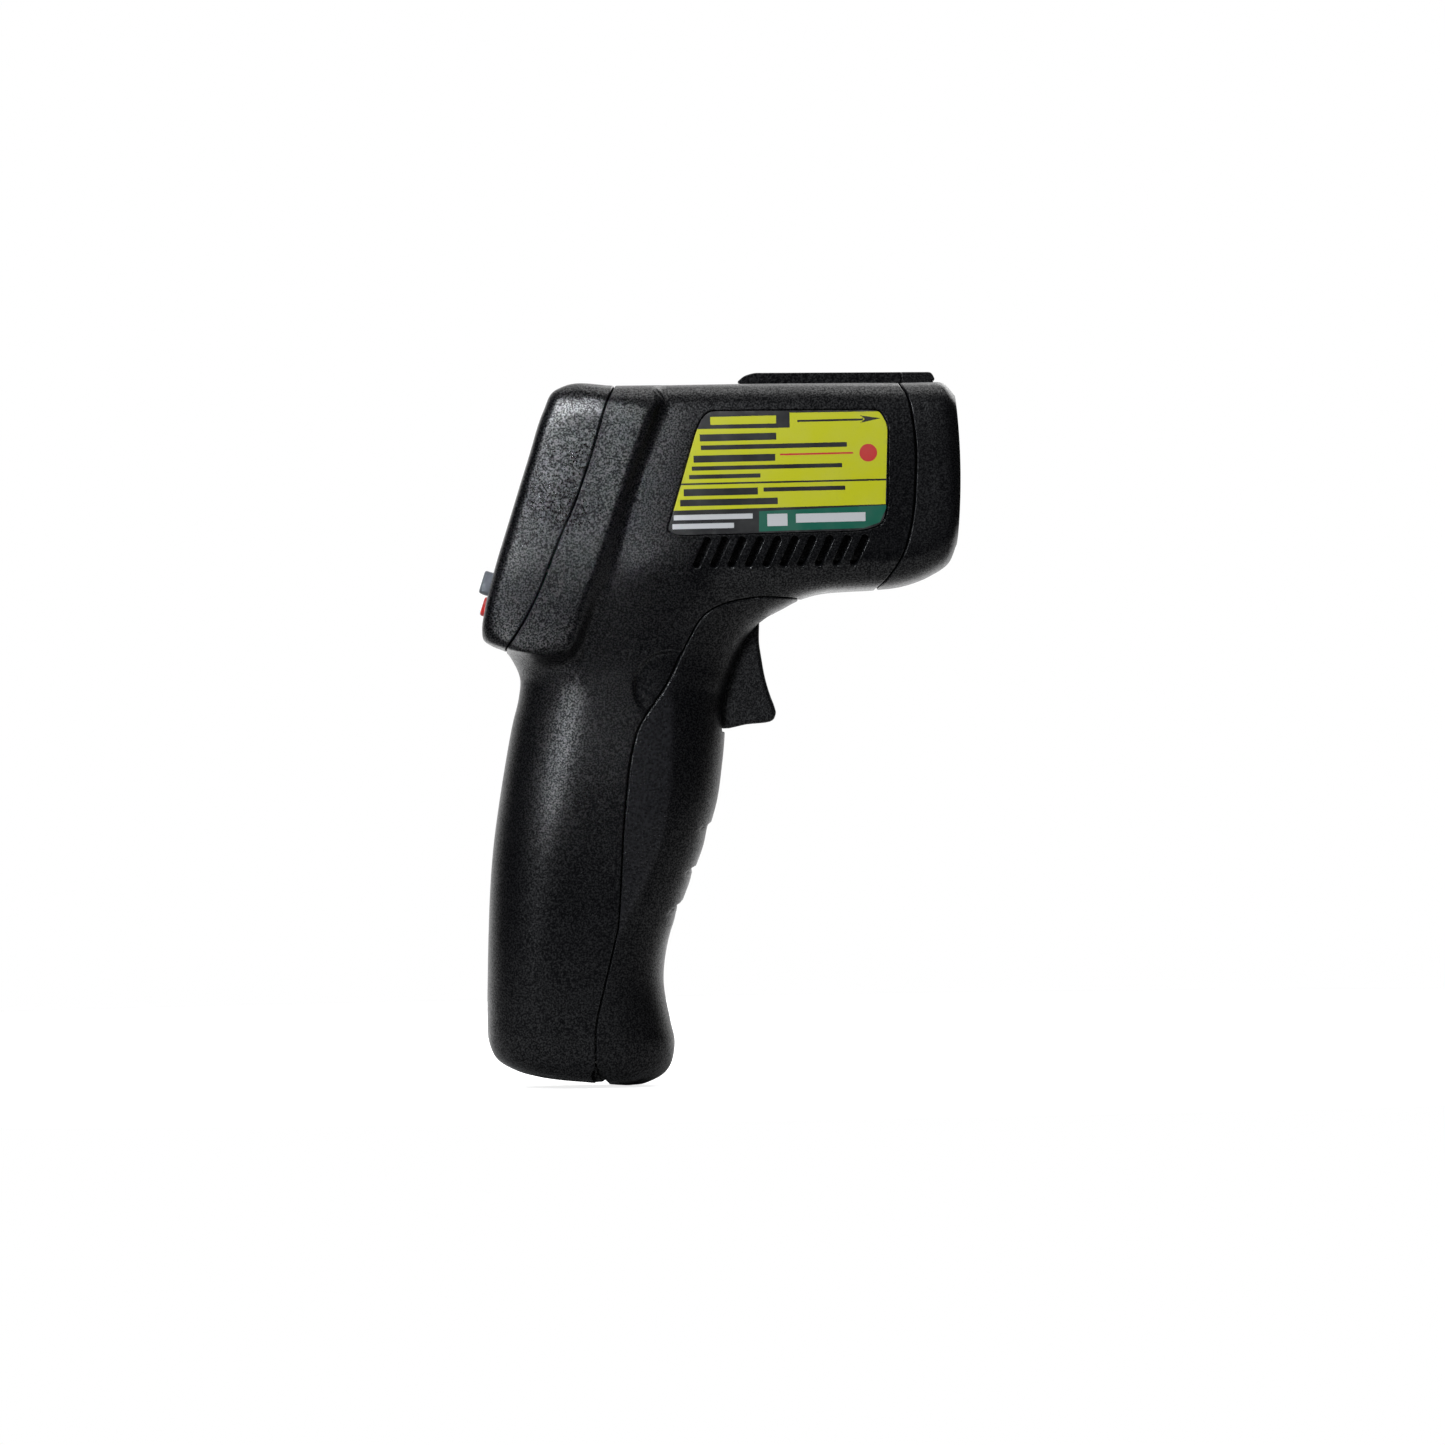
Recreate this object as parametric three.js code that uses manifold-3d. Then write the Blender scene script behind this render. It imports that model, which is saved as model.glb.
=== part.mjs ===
import * as THREE from "three";
import { mergeVertices } from "three/addons/utils/BufferGeometryUtils.js";
import Module from "manifold-3d";

// Pistol-grip infrared thermometer. Millimetres, +X along the line of sight,
// +Z up, Y = 0 in the plane where the two housing halves meet.

const GAP = 0.3;
const HALF_GAP = GAP / 2;
const WALL = 2.2;
const FAR = 90;

// Half widths of the housing.
const COLLAR_HALF = 21.5;
const COLLAR_CROWN = 1.02;
const COLLAR_TAPER = { by: 1.6, from: -29, over: 18 };
const COLLAR_TUCK = { by: 0.8, from: 97, to: 112 };
const BARREL_HALF = 20.3;
const BARREL_TAPER = { by: 1.4, from: 18, over: 36 };
const TOP_CROWN = { by: 1, from: 131, over: 19 };
const GRIP_HALF = 17.6;
const NECK_HALF = 16.2;
const BUTT_HALF = 16.8;

// Display face: lower edge further back than the upper edge.
const FACE_TILT = THREE.MathUtils.degToRad(18);
const FACE_MIDDLE = new THREE.Vector3(-42.7, 0, 127);

// Line of sight and laser beam heights.
const SIGHT_Z = 126.5;
const LASER_Z = 142;

// Hinge and trigger pivots, in the X-Z plane.
const DOOR_PIVOT = [-27.2, 2.3];
const TRIGGER_PIVOT = [-1, 100];
const TRIGGER_HALF = 6;
const TRIGGER_SLOT = { half: 6.6, x: [-8, 12], z: [75.4, 100.3] };
const TRIGGER_PIN = 1;
const HINGE = { knuckle: 8, end: 12, round: 1.35, lug: 1.3, sweep: 1.85, pin: 0.5 };
const DOOR_HEEL = [[-29, -2], [-25.6, -2], [-25.6, 0.4], [-26.6, 1.1], [-27.85, 1.7], [-29, 2]];
const LUG_ARM = { x: -36, z: [1.4, 3.6] };
const COIL = { from: 2.6, to: 6.1, room: 4.3, round: 2, wire: 0.3, turns: 3, pitch: 0.85 };
const CHEEK = [7.2, 9];

// 9 V block battery.
const BATTERY = { deep: 17.5, wide: 26.5, tall: 48.5 };
const BATTERY_TILT = THREE.MathUtils.degToRad(9.5);
const BATTERY_FOOT = new THREE.Vector3(-31.5, 0, 17);

// Sections of the skin from the nose, round the rear of the head, down to the butt:
// front point x, z, back point x, z, bow, squareness front, squareness back, width share.
const SECTIONS = [
  [50.7, 114.5, 50.7, 146.6, 1.0, 5, 7, 0.93],
  [48.9, 110.6, 48.2, 149.2, 1.3, 5, 7, 0.99],
  [45.5, 108.3, 45.0, 149.4, 2.5, 5, 7, 1],
  [39.2, 106.0, 42.3, 149.4, 4.3, 5, 7, 1],
  [33.1, 105.3, 39.0, 149.4, 5.9, 5, 7, 1],
  [28.5, 105.1, 32.0, 149.5, 5, 5, 7, 1],
  [23.0, 104.8, 22.0, 149.6, 2.5, 5, 7, 1],
  [17.6, 103.6, 8.0, 149.7, 0, 4.6, 7, 1],
  [13.5, 101.6, -6.0, 149.7, 0, 4.2, 7, 1],
  [10.9, 100.2, -21.8, 149.7, 0, 3.6, 8, 1],
  [9.4, 98.9, -32.5, 149.7, 0, 3.2, 12, 1],
  [8.5, 98.1, -35.0, 148.4, 0, 3.1, 14, 1],
  [7.9, 97.4, -37.0, 144.5, 0, 3, 15, 1],
  [6.9, 96.2, -40.4, 134.4, 0, 3, 15, 1],
  [5.5, 94.4, -44.6, 121.5, 0, 3, 15, 1],
  [4.4, 92.2, -48.4, 109.4, 0, 3, 15, 1],
  [3.6, 90.4, -50.4, 101.5, 0, 3, 15, 1],
  [3.0, 88.8, -50.9, 98.0, 0, 3, 13, 1],
  [2.6, 87.6, -50.6, 95.7, 0, 3, 10, 1],
  [2.2, 86.4, -48.8, 94.4, 0, 3, 7, 1],
  [1.9, 85.2, -46.0, 93.1, 0, 2.9, 4, 1],
  [1.4, 83.4, -44.4, 90.7, 0, 2.8, 3, 1],
  [1.0, 81.2, -43.2, 87.5, 0, 2.8, 2.7, 1],
  [0.7, 77.8, -43.5, 83.6, 0, 2.8, 2.6, 1],
  [0.5, 74.2, -44.9, 78.0, 0, 2.8, 2.6, 1],
  [-0.1, 68.6, -46.5, 70.0, 0, 2.8, 2.7, 1],
  [-1.4, 60.4, -48.0, 61.4, 0, 2.8, 2.8, 1],
  [-4.1, 51.9, -49.3, 52.8, 0, 2.8, 2.8, 1],
  [-8.4, 41.0, -50.3, 42.5, 0, 2.8, 2.8, 1],
  [-12.1, 31.5, -50.8, 33.0, 0, 2.8, 2.8, 1],
  [-13.4, 22.5, -51.1, 24.5, 0, 2.8, 2.8, 1],
  [-12.0, 13.3, -51.3, 15.0, 0, 2.8, 2.8, 1],
  [-11.2, 9.0, -51.1, 10.0, 0, 2.8, 2.8, 1],
  [-11.8, 5.2, -49.6, 6.3, 0, 2.8, 2.8, 0.985],
  [-13.6, 2.4, -45.5, 3.6, 0, 2.8, 2.8, 0.93],
  [-17.0, 0.6, -40.4, 2.1, 0, 2.8, 2.8, 0.82],
  [-20.5, 0, -33.0, 1.2, 0, 2.8, 2.8, 0.55],
];
const CAVITY_FIRST = 2;
const CAVITY_LAST = 34;
const SKIN_POINTS = 28;
const CAVITY_POINTS = 16;
const CORNER_WEIGHT = 0.9;
const FINE = 240;

// Joints between the housing pieces, in the X-Z plane.
const REAR_SEAM = [
  [-21.8, 151], [-21.9, 149.5], [-23.6, 145.4], [-26.2, 136.9], [-30.1, 125.6],
  [-33.7, 117.5], [-37.8, 107.4], [-41.4, 100.2], [-45.8, 93.6], [-47, 91.8],
];
const NOSE_SEAM = [
  [37.2, 154], [39, 149.1], [40.5, 146.4], [41.6, 141.3], [42.2, 134.8], [42, 128.3],
  [41.5, 121.9], [40.2, 115.5], [38.2, 110.8], [35.3, 107], [32.4, 104.4],
];
const DOOR_SEAM = [
  [-28, -2], [-28, 9.4], [-27.7, 13.7], [-26.5, 19], [-23.5, 30.8], [-22.5, 36.1],
  [-21.3, 54.4], [-20.1, 66.2], [-19.2, 71.6], [-17.3, 77.5], [-11.8, 85.4],
  [-8, 92.8], [-4.4, 99.2], [-0.9, 101.9], [3.6, 103.3], [9, 103.9], [13.3, 103.8],
  [17.2, 103.3], [20, 102],
];

// Flank where the rear collar steps out from the barrel: height, front edge, back edge.
const FLANK = [
  [145, -11.4, -13.1], [131.3, -16.4, -19.2], [117.9, -20.1, -24.4],
  [110, -22.2, -27.6], [99.3, -26.5, -30.6], [90, -30.5, -34],
];
const COLLAR_FOOT = [[-46, 93], [-40, 93.4], [-32, 94.4], [-27, 95.9]];
const COLLAR_RISE = 4.5;

const TRIGGER_OUTLINE = [
  [8.3, 98.6], [8.2, 94.6], [8.6, 91.4], [9.3, 87.1], [10.3, 83.4], [11.3, 80.6],
  [11.5, 78.9], [10.2, 77.4], [5.2, 76.9], [0.3, 76.1], [-2.6, 78], [-3.4, 84],
  [-3.6, 92], [-4, 98], [-3.4, 101.4], [-1, 102.6], [1.6, 101.2], [7.3, 99.6],
];
const LABEL_OUTLINE = [
  [-2.4, 143.9], [-4.6, 140.1], [-10.4, 120.8], [-11.3, 118.3], [-9, 117.2],
  [30.8, 117.6], [35.2, 119], [36.1, 123.1], [36.5, 140.3], [34.8, 143.3], [33.1, 143.6],
];
const LABEL_MIDDLE = [13, 131];
const LABEL_TRIM = 0.012;
const LABEL_TOP = 0.15;
const LABEL_THICK = 0.3;
const LABEL_FLOOR = 0.75;
const THUMB_REST = { x: -11.1, z: 85.1, radius: 8, depth: 1, face: 15.9 };
const FINGER_STEPS = [
  [[-2, 55.6], [-6, 54.1]], [[-4.7, 46.9], [-8.6, 45.1]], [[-8.5, 39.1], [-12.4, 36.5]],
];
const STEP = { depth: 0.6, half: 0.35, past: 3 };
const VENTS = { count: 10, x: -2.5, pitch: 3.72, top: 116.9, bottom: 110.3, lean: 2.4, half: 0.75 };
const RAIL = [[4.2, 148], [4.2, 150.2], [5.9, 151.6], [8, 152.2], [46, 151.8], [46.9, 150], [46.9, 148]];
const RAIL_HALF = 4.5;
const CASE_SCREWS = [[-40, 10.5], [-35, 80], [14, 142], [-12, 113]];
const SCREW = { shank: 1.3, head: 2.6, tall: 2.2, seat: 12, tip: 11 };
const BOSS = { plain: 3, head: 4 };

// Display stack, measured from the display face along its normal.
const WINDOW = { at: [0, 4], size: [31, 26], depth: [-1.4, -0.2], corner: 2 };
const LCD = { at: [0, 4], size: [29.2, 24], depth: [-5, -3] };
const FRAME = { size: [31.2, 28], hole: [29.8, 24.6], depth: [-9.2, -3.6] };
const LIGHT_GUIDE = { at: [0, 5.5], size: [27, 18], depth: [-7.8, -5.3] };
const ZEBRA = { at: [0, -6.6], size: [27, 2], depth: [-9.2, -5.3] };
const MAIN_BOARD = { at: [0, -4.5], size: [32, 47], depth: [-11.1, -9.5] };
const BOARD_POSTS = [[-15, -14], [15, -14]];
const BOARD_SCREW = { shank: 0.8, head: 1.8, tall: 1.2, length: 6 };
const BUTTONS = {
  button_grey_right: { at: [9, -20.3], size: [8, 5], top: 1.9 },
  button_grey_left: { at: [-9, -20.3], size: [8, 5], top: 1.9 },
  button_red: { at: [0, -25.2], size: [7.4, 4.2], top: 0.55 },
};
const FLANGE = { wider: 1, depth: [-4.2, -3.4], stem: 3, foot: -4.6, root: 0.25 };
const SWITCH = { size: 6, depth: [-9.2, -6], plunger: 1.7, top: -5.7 };

// Optics in the nose.
const APERTURE = { hole: 10.6, ring: 10.3, seat: 8.5, mouth: 7, back: 44, step: 48.4, front: 50.8 };
const LENS = { radius: 8.2, x: [46.6, 48.1] };
const TUBE = { outer: 8.2, inner: 7, x: [21.4, 46.3] };
const THERMOPILE = { radius: 4.6, x: [21.4, 27.5] };
const SENSOR_BOARD = { radius: 10, x: [19.5, 21.1] };
const LASER = { radius: 3.25, x: [24, 44.4], hole: 2.2, glass: 1.9, glassX: [48.5, 49.5] };

const wasm = await Module();
wasm.setup();

const smooth = (from, to, value) => THREE.MathUtils.smoothstep(value, from, to);

// Straight-line reading of a table of rows that start with the key.
function read(table, key, column) {
  const rows = [...table].sort((a, b) => a[0] - b[0]);
  const next = rows.findIndex((row) => row[0] >= key);
  if (next === 0) return rows[0][column];
  if (next < 0) return rows[rows.length - 1][column];
  const share = (key - rows[next - 1][0]) / (rows[next][0] - rows[next - 1][0]);
  return THREE.MathUtils.lerp(rows[next - 1][column], rows[next][column], share);
}

// Half width of the housing at a place in the X-Z plane.
function halfWidth(x, z) {
  const curve = ({ by, over }, past) => by * (Math.max(0, past) / over) ** 2;
  const crown = curve(TOP_CROWN, z - TOP_CROWN.from);
  const lower = THREE.MathUtils.lerp(BUTT_HALF, GRIP_HALF, smooth(0, 30, z));
  const grip = THREE.MathUtils.lerp(lower, NECK_HALF, smooth(55, 86, z));
  const barrel = BARREL_HALF - crown - curve(BARREL_TAPER, BARREL_TAPER.from - x);
  const plain = THREE.MathUtils.lerp(grip, barrel, smooth(88, 113, z));
  const tuck = COLLAR_TUCK.by * (1 - smooth(COLLAR_TUCK.from, COLLAR_TUCK.to, z));
  const collar = COLLAR_HALF * COLLAR_CROWN - crown - tuck - curve(COLLAR_TAPER, COLLAR_TAPER.from - x);
  const flank = 1 - smooth(read(FLANK, z, 2), read(FLANK, z, 1), x);
  const foot = read(COLLAR_FOOT, x, 1);
  return THREE.MathUtils.lerp(plain, collar, flank * smooth(foot - COLLAR_RISE, foot, z));
}

// One section of the skin, as a closed ring of points, drawn in by the inset.
function ring([fx, fz, bx, bz, bow, squareFront, squareBack, share], inset, count) {
  const length = Math.hypot(bx - fx, bz - fz);
  const ux = (bx - fx) / length;
  const uz = (bz - fz) / length;
  const reach = length / 2 - inset;
  const at = (angle) => {
    const c = -Math.cos(angle);
    const power = 2 / (c < 0 ? squareFront : squareBack);
    const along = Math.sign(c) * Math.abs(c) ** power;
    const out = bow * (1 - along * along);
    const x = (fx + bx) / 2 + ux * reach * along + uz * out;
    const z = (fz + bz) / 2 + uz * reach * along - ux * out;
    const wide = Math.min(halfWidth(x, z) * share, COLLAR_HALF) - inset;
    const full = Math.abs(Math.sin(angle)) ** power;
    return new THREE.Vector3(x, Math.min(wide * full * COLLAR_CROWN, wide), z);
  };
  const fine = Array.from({ length: FINE + 1 }, (_, i) => at((Math.PI * i) / FINE));
  const travel = [0];
  for (let i = 1; i < fine.length; i++) {
    const step = fine[i].distanceTo(fine[i - 1]);
    const before = fine[i - 1].clone().sub(fine[Math.max(i - 2, 0)]);
    const turn = i > 1 ? fine[i].clone().sub(fine[i - 1]).angleTo(before) : 0;
    travel.push(travel[i - 1] + step / length + (CORNER_WEIGHT * turn) / Math.PI);
  }
  const half = count / 2;
  const side = Array.from({ length: half + 1 }, (_, k) => {
    const goal = (travel[FINE] * k) / half;
    const found = travel.findIndex((t) => t >= goal);
    return fine[found < 0 ? FINE : found].clone();
  });
  side[0].y = 0;
  side[half].y = 0;
  const mirrored = side.slice(1, half).reverse().map((p) => new THREE.Vector3(p.x, -p.y, p.z));
  return [...side, ...mirrored];
}

function meshOf(points, faces) {
  const geometry = new THREE.BufferGeometry();
  geometry.setAttribute("position", new THREE.Float32BufferAttribute(points.flatMap((p) => p.toArray()), 3));
  geometry.setIndex(faces);
  return geometry;
}

// A closed surface through a row of rings, with a point in the middle of each end.
function loft(rings) {
  const count = rings[0].length;
  const points = rings.flat();
  const faces = [];
  for (let i = 0; i + 1 < rings.length; i++) {
    for (let k = 0; k < count; k++) {
      const a = i * count + k;
      const b = i * count + ((k + 1) % count);
      faces.push(a, a + count, b, b, a + count, b + count);
    }
  }
  const ends = [rings[0], rings[rings.length - 1]];
  ends.forEach((end, e) => {
    const middle = end.reduce((sum, p) => sum.add(p), new THREE.Vector3()).divideScalar(count);
    points.push(middle);
    const centre = points.length - 1;
    const start = e * (rings.length - 1) * count;
    for (let k = 0; k < count; k++) {
      const a = start + k;
      const b = start + ((k + 1) % count);
      faces.push(...(e ? [b, a, centre] : [a, b, centre]));
    }
  });
  return meshOf(points, faces);
}

// A geometry as a solid that can be cut and joined.
function solid(geometry) {
  const plain = geometry.index ? geometry.toNonIndexed() : geometry.clone();
  plain.deleteAttribute("normal");
  plain.deleteAttribute("uv");
  const merged = mergeVertices(plain, 1e-4);
  return new wasm.Manifold(new wasm.Mesh({
    numProp: 3,
    vertProperties: merged.attributes.position.array,
    triVerts: new Uint32Array(merged.index.array),
  }));
}

function skin(inset, count) {
  const inner = SECTIONS.slice(CAVITY_FIRST, CAVITY_LAST + 1).filter((_, i) => i % 2 === 0);
  const chosen = inset >= WALL ? inner : SECTIONS;
  return solid(loft(chosen.map((section) => ring(section, inset, count))));
}

// A flat outline in the X-Z plane, thickened along Y.
function plate(outline, fromY, toY) {
  const shape = new THREE.Shape(outline.map(([x, z]) => new THREE.Vector2(x, z)));
  const geometry = new THREE.ExtrudeGeometry(shape, { depth: toY - fromY, bevelEnabled: false });
  return solid(geometry.rotateX(Math.PI / 2).translate(0, toY, 0));
}

// A round bar along Y.
function bar([x, z], radius, fromY, toY, sides = 16) {
  const geometry = new THREE.CylinderGeometry(radius, radius, toY - fromY, sides);
  return solid(geometry.translate(x, (fromY + toY) / 2, z));
}

// A round bar along X.
function rod(z, radius, fromX, toX, sides = 20) {
  const geometry = new THREE.CylinderGeometry(radius, radius, toX - fromX, sides);
  return solid(geometry.rotateZ(Math.PI / 2).translate((fromX + toX) / 2, 0, z));
}

function block(x, y, z) {
  const geometry = new THREE.BoxGeometry(x[1] - x[0], y[1] - y[0], z[1] - z[0]);
  return solid(geometry.translate((x[0] + x[1]) / 2, (y[0] + y[1]) / 2, (z[0] + z[1]) / 2));
}

// A round bar swept along a curve, closed at both ends.
function cable(points, radius, steps, sides = 6) {
  const curve = new THREE.CatmullRomCurve3(points.map((p) => new THREE.Vector3(...p)));
  const frames = curve.computeFrenetFrames(steps, false);
  const rings = Array.from({ length: steps + 1 }, (_, i) => {
    const middle = curve.getPointAt(i / steps);
    return Array.from({ length: sides }, (_, k) => {
      const angle = (-2 * Math.PI * k) / sides;
      return middle.clone()
        .addScaledVector(frames.normals[i], radius * Math.cos(angle))
        .addScaledVector(frames.binormals[i], radius * Math.sin(angle));
    });
  });
  return solid(loft(rings));
}

// Frame of the display face: x to the right of the reader, y up the face, z out of it.
const faceUp = new THREE.Vector3(Math.sin(FACE_TILT), 0, Math.cos(FACE_TILT));
const faceOut = new THREE.Vector3(-Math.cos(FACE_TILT), 0, Math.sin(FACE_TILT));
const FACE = new THREE.Matrix4()
  .makeBasis(new THREE.Vector3(0, -1, 0), faceUp, faceOut)
  .setPosition(FACE_MIDDLE);
const CELL = new THREE.Matrix4().makeRotationY(BATTERY_TILT).setPosition(BATTERY_FOOT);

const place = (made, matrix) => made.transform(matrix.elements);
const onFace = (made) => place(made, FACE);
const onCell = (made) => place(made, CELL);

// A plate parallel to the display face with rounded corners: middle, size, depth range.
function pad([x, y], [wide, tall], [low, high], corner) {
  const w = wide / 2 - corner;
  const t = tall / 2 - corner;
  const shape = new THREE.Shape();
  shape.moveTo(x + w, y - t - corner);
  shape.absarc(x + w, y - t, corner, -Math.PI / 2, 0);
  shape.absarc(x + w, y + t, corner, 0, Math.PI / 2);
  shape.absarc(x - w, y + t, corner, Math.PI / 2, Math.PI);
  shape.absarc(x - w, y - t, corner, Math.PI, Math.PI * 1.5);
  const options = { depth: high - low, bevelEnabled: false, curveSegments: 2 };
  return onFace(solid(new THREE.ExtrudeGeometry(shape, options).translate(0, 0, low)));
}

// A round post perpendicular to the display face.
function post([x, y], radius, [low, high], sides = 12) {
  const geometry = new THREE.CylinderGeometry(radius, radius, high - low, sides);
  return onFace(solid(geometry.rotateX(Math.PI / 2).translate(x, y, (low + high) / 2)));
}

// A pan-head screw with its head's underside at the origin and its shank along -Z.
function screw(shank, length, head, tall) {
  const profile = [
    [0, -length], [shank * 0.6, -length], [shank, -length + shank], [shank, 0],
    [head, 0], [head, tall * 0.6], [head * 0.7, tall], [0, tall],
  ];
  const turned = new THREE.LatheGeometry(profile.map(([r, h]) => new THREE.Vector2(r, h)), 12);
  const slot = block([-head, head], [tall * 0.55, tall * 2], [-shank * 0.3, shank * 0.3]);
  return solid(turned).subtract(slot);
}

const shifted = (outline, dx, dz) => outline.map(([x, z]) => [x + dx, z + dz]);

const behindSeam = (dx) => plate([...shifted(REAR_SEAM, dx, 0), [-FAR, 80], [-FAR, 151]].reverse(), -FAR, FAR);
const aheadOfSeam = (dx) => plate([...shifted(NOSE_SEAM, dx, 0), [FAR, 90], [FAR, 154]], -FAR, FAR);
const doorZone = (d) => plate([...shifted(DOOR_SEAM, d, -d), [FAR, 60], [FAR, -2]].reverse(), -FAR, FAR);

const outside = skin(0, SKIN_POINTS);
const cavity = skin(WALL, CAVITY_POINTS);
const shell = outside.subtract(cavity);
const rail = plate(RAIL, -RAIL_HALF, RAIL_HALF);

const parts = [];
function add(name, made, material) {
  const mesh = made.getMesh();
  const geometry = new THREE.BufferGeometry();
  const places = new Float32Array(mesh.numVert * 3);
  for (let i = 0; i < mesh.numVert; i++) {
    const from = i * mesh.numProp;
    places.set(mesh.vertProperties.subarray(from, from + 3), i * 3);
  }
  geometry.setAttribute("position", new THREE.BufferAttribute(places, 3));
  geometry.setIndex(new THREE.BufferAttribute(new Uint32Array(mesh.triVerts), 1));
  geometry.computeVertexNormals();
  const part = new THREE.Mesh(geometry, new THREE.MeshStandardMaterial(material));
  part.name = name;
  parts.push(part);
}

const SPARK_BLACK = { color: 0x17181a, roughness: 0.62, metalness: 0 };
const SATIN_BLACK = { color: 0x141517, roughness: 0.45, metalness: 0 };
const SOFT_BLACK = { color: 0x1c1d1f, roughness: 0.8, metalness: 0 };
const STEEL = { color: 0xb9bcc0, roughness: 0.3, metalness: 1 };
const BRASS = { color: 0xb08a3e, roughness: 0.3, metalness: 1 };
const BOARD = { color: 0x0f5a34, roughness: 0.5, metalness: 0 };
const DARK = { color: 0x0c0c0d, roughness: 0.6, metalness: 0 };
const GREY = { color: 0x6f747b, roughness: 0.6, metalness: 0 };
const RED = { color: 0xd8231c, roughness: 0.35, metalness: 0 };
const YELLOW = { color: 0xe3e610, roughness: 0.35, metalness: 0 };
const CLEAR = { color: 0xdfe8ea, roughness: 0.05, metalness: 0, transparent: true, opacity: 0.35 };

const union = (made) => wasm.Manifold.union(made);
const mirrored = ([from, to], side) => (side < 0 ? [-to, -from] : [from, to]);
const grown = (size, by) => size.map((s) => s + by);

const labelRecess = plate(LABEL_OUTLINE, -FAR, 0).subtract(skin(LABEL_FLOOR, SKIN_POINTS));
const labelOutline = LABEL_OUTLINE.map(([x, z]) => [
  THREE.MathUtils.lerp(x, LABEL_MIDDLE[0], LABEL_TRIM),
  THREE.MathUtils.lerp(z, LABEL_MIDDLE[1], LABEL_TRIM),
]);
const label = plate(labelOutline, -FAR, 0)
  .intersect(skin(LABEL_TOP, SKIN_POINTS))
  .subtract(skin(LABEL_TOP + LABEL_THICK, SKIN_POINTS));

const vents = Array.from({ length: VENTS.count }, (_, i) => {
  const top = VENTS.x + VENTS.pitch * i;
  const foot = top - VENTS.lean;
  const outline = [
    [foot - VENTS.half, VENTS.bottom + VENTS.half],
    [foot, VENTS.bottom],
    [foot + VENTS.half, VENTS.bottom + VENTS.half],
    [top + VENTS.half, VENTS.top - VENTS.half],
    [top, VENTS.top],
    [top - VENTS.half, VENTS.top - VENTS.half],
  ];
  return plate(outline, -FAR, FAR);
});

function thumbDish(side) {
  const { x, z, radius, depth, face } = THUMB_REST;
  const ball = new THREE.SphereGeometry(radius, 16, 10).scale(1, depth / radius, 1);
  return solid(ball.translate(x, side * face, z));
}

// One half of the housing: shell, sight rail, screw bosses and hinge lug, less the openings.
function housingHalf(side) {
  const boss = side < 0 ? BOSS.plain : BOSS.head;
  const bosses = CASE_SCREWS.map((at) => bar(at, boss, ...mirrored([HALF_GAP, FAR], side)));
  const bore = SCREW.shank + GAP;
  const holes = CASE_SCREWS.map((at) => (side < 0
    ? bar(at, bore, -SCREW.tip - 2 * GAP, 0)
    : bar(at, bore, 0, FAR).add(bar(at, SCREW.head + GAP, SCREW.seat, FAR))));
  const lugWidth = mirrored([HINGE.knuckle + GAP, HINGE.end], side);
  const arm = block([LUG_ARM.x, DOOR_PIVOT[0]], lugWidth, LUG_ARM.z);
  const lug = bar(DOOR_PIVOT, HINGE.lug, ...lugWidth).add(arm);
  return shell.add(rail.subtract(cavity))
    .add(union(bosses).intersect(outside))
    .subtract(behindSeam(HALF_GAP))
    .subtract(aheadOfSeam(-HALF_GAP))
    .subtract(doorZone(-HALF_GAP))
    .subtract(bar(DOOR_PIVOT, HINGE.sweep, -FAR, FAR))
    .add(lug.intersect(outside))
    .subtract(bar(DOOR_PIVOT, HINGE.pin + GAP, -HINGE.end - GAP, HINGE.end + GAP))
    .subtract(union([...vents, ...holes, thumbDish(side)]))
    .intersect(block([-FAR, FAR], mirrored([HALF_GAP, FAR], side), [-FAR, 2 * FAR]));
}

add("body_right", housingHalf(-1).subtract(labelRecess), SPARK_BLACK);
add("body_left", housingHalf(1), SPARK_BLACK);
add("label_right", label, YELLOW);
CASE_SCREWS.forEach(([x, z], i) => {
  const made = screw(SCREW.shank, SCREW.seat + SCREW.tip, SCREW.head, SCREW.tall);
  add(`case_screw_${i + 1}`, made.translate(x, SCREW.seat + GAP, z), STEEL);
});

// Rear cap with the display window and the buttons.
const boardPosts = BOARD_POSTS.map((at) => post(at, 2.2, [MAIN_BOARD.depth[1] + GAP, -WALL + 1]));
const postBores = BOARD_POSTS.map((at) => post(at, BOARD_SCREW.shank + GAP, [-FAR, -WALL - 1]));
const buttonHoles = Object.values(BUTTONS).map(({ at, size }) => pad(at, grown(size, 2 * GAP), [-6, 6], 1.4));
const windowHole = pad(WINDOW.at, grown(WINDOW.size, 2 * GAP), [-6, 6], WINDOW.corner);
const cap = shell.intersect(behindSeam(-HALF_GAP))
  .add(union(boardPosts))
  .subtract(union([...postBores, ...buttonHoles, windowHole]));
add("display_cap", cap, SPARK_BLACK);
add("display_window", pad(WINDOW.at, WINDOW.size, WINDOW.depth, WINDOW.corner), CLEAR);
add("lcd_glass", pad(LCD.at, LCD.size, LCD.depth, 0.5), GREY);
const frameHole = pad(LCD.at, FRAME.hole, [-FAR, 0], 0.5);
add("lcd_frame", pad(LCD.at, FRAME.size, FRAME.depth, 1).subtract(frameHole), DARK);
add("light_guide", pad(LIGHT_GUIDE.at, LIGHT_GUIDE.size, LIGHT_GUIDE.depth, 0.5), CLEAR);
add("zebra_strip", pad(ZEBRA.at, ZEBRA.size, ZEBRA.depth, 0.3), GREY);
add("main_board", pad(MAIN_BOARD.at, MAIN_BOARD.size, MAIN_BOARD.depth, 1).subtract(union(postBores)), BOARD);
add("controller_chip", pad([-3, 6], [10, 10], [-12.9, -11.4], 0.4), DARK);
add("buzzer", post([8, -12], 5, [-16.4, -11.4], 16), DARK);
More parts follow.
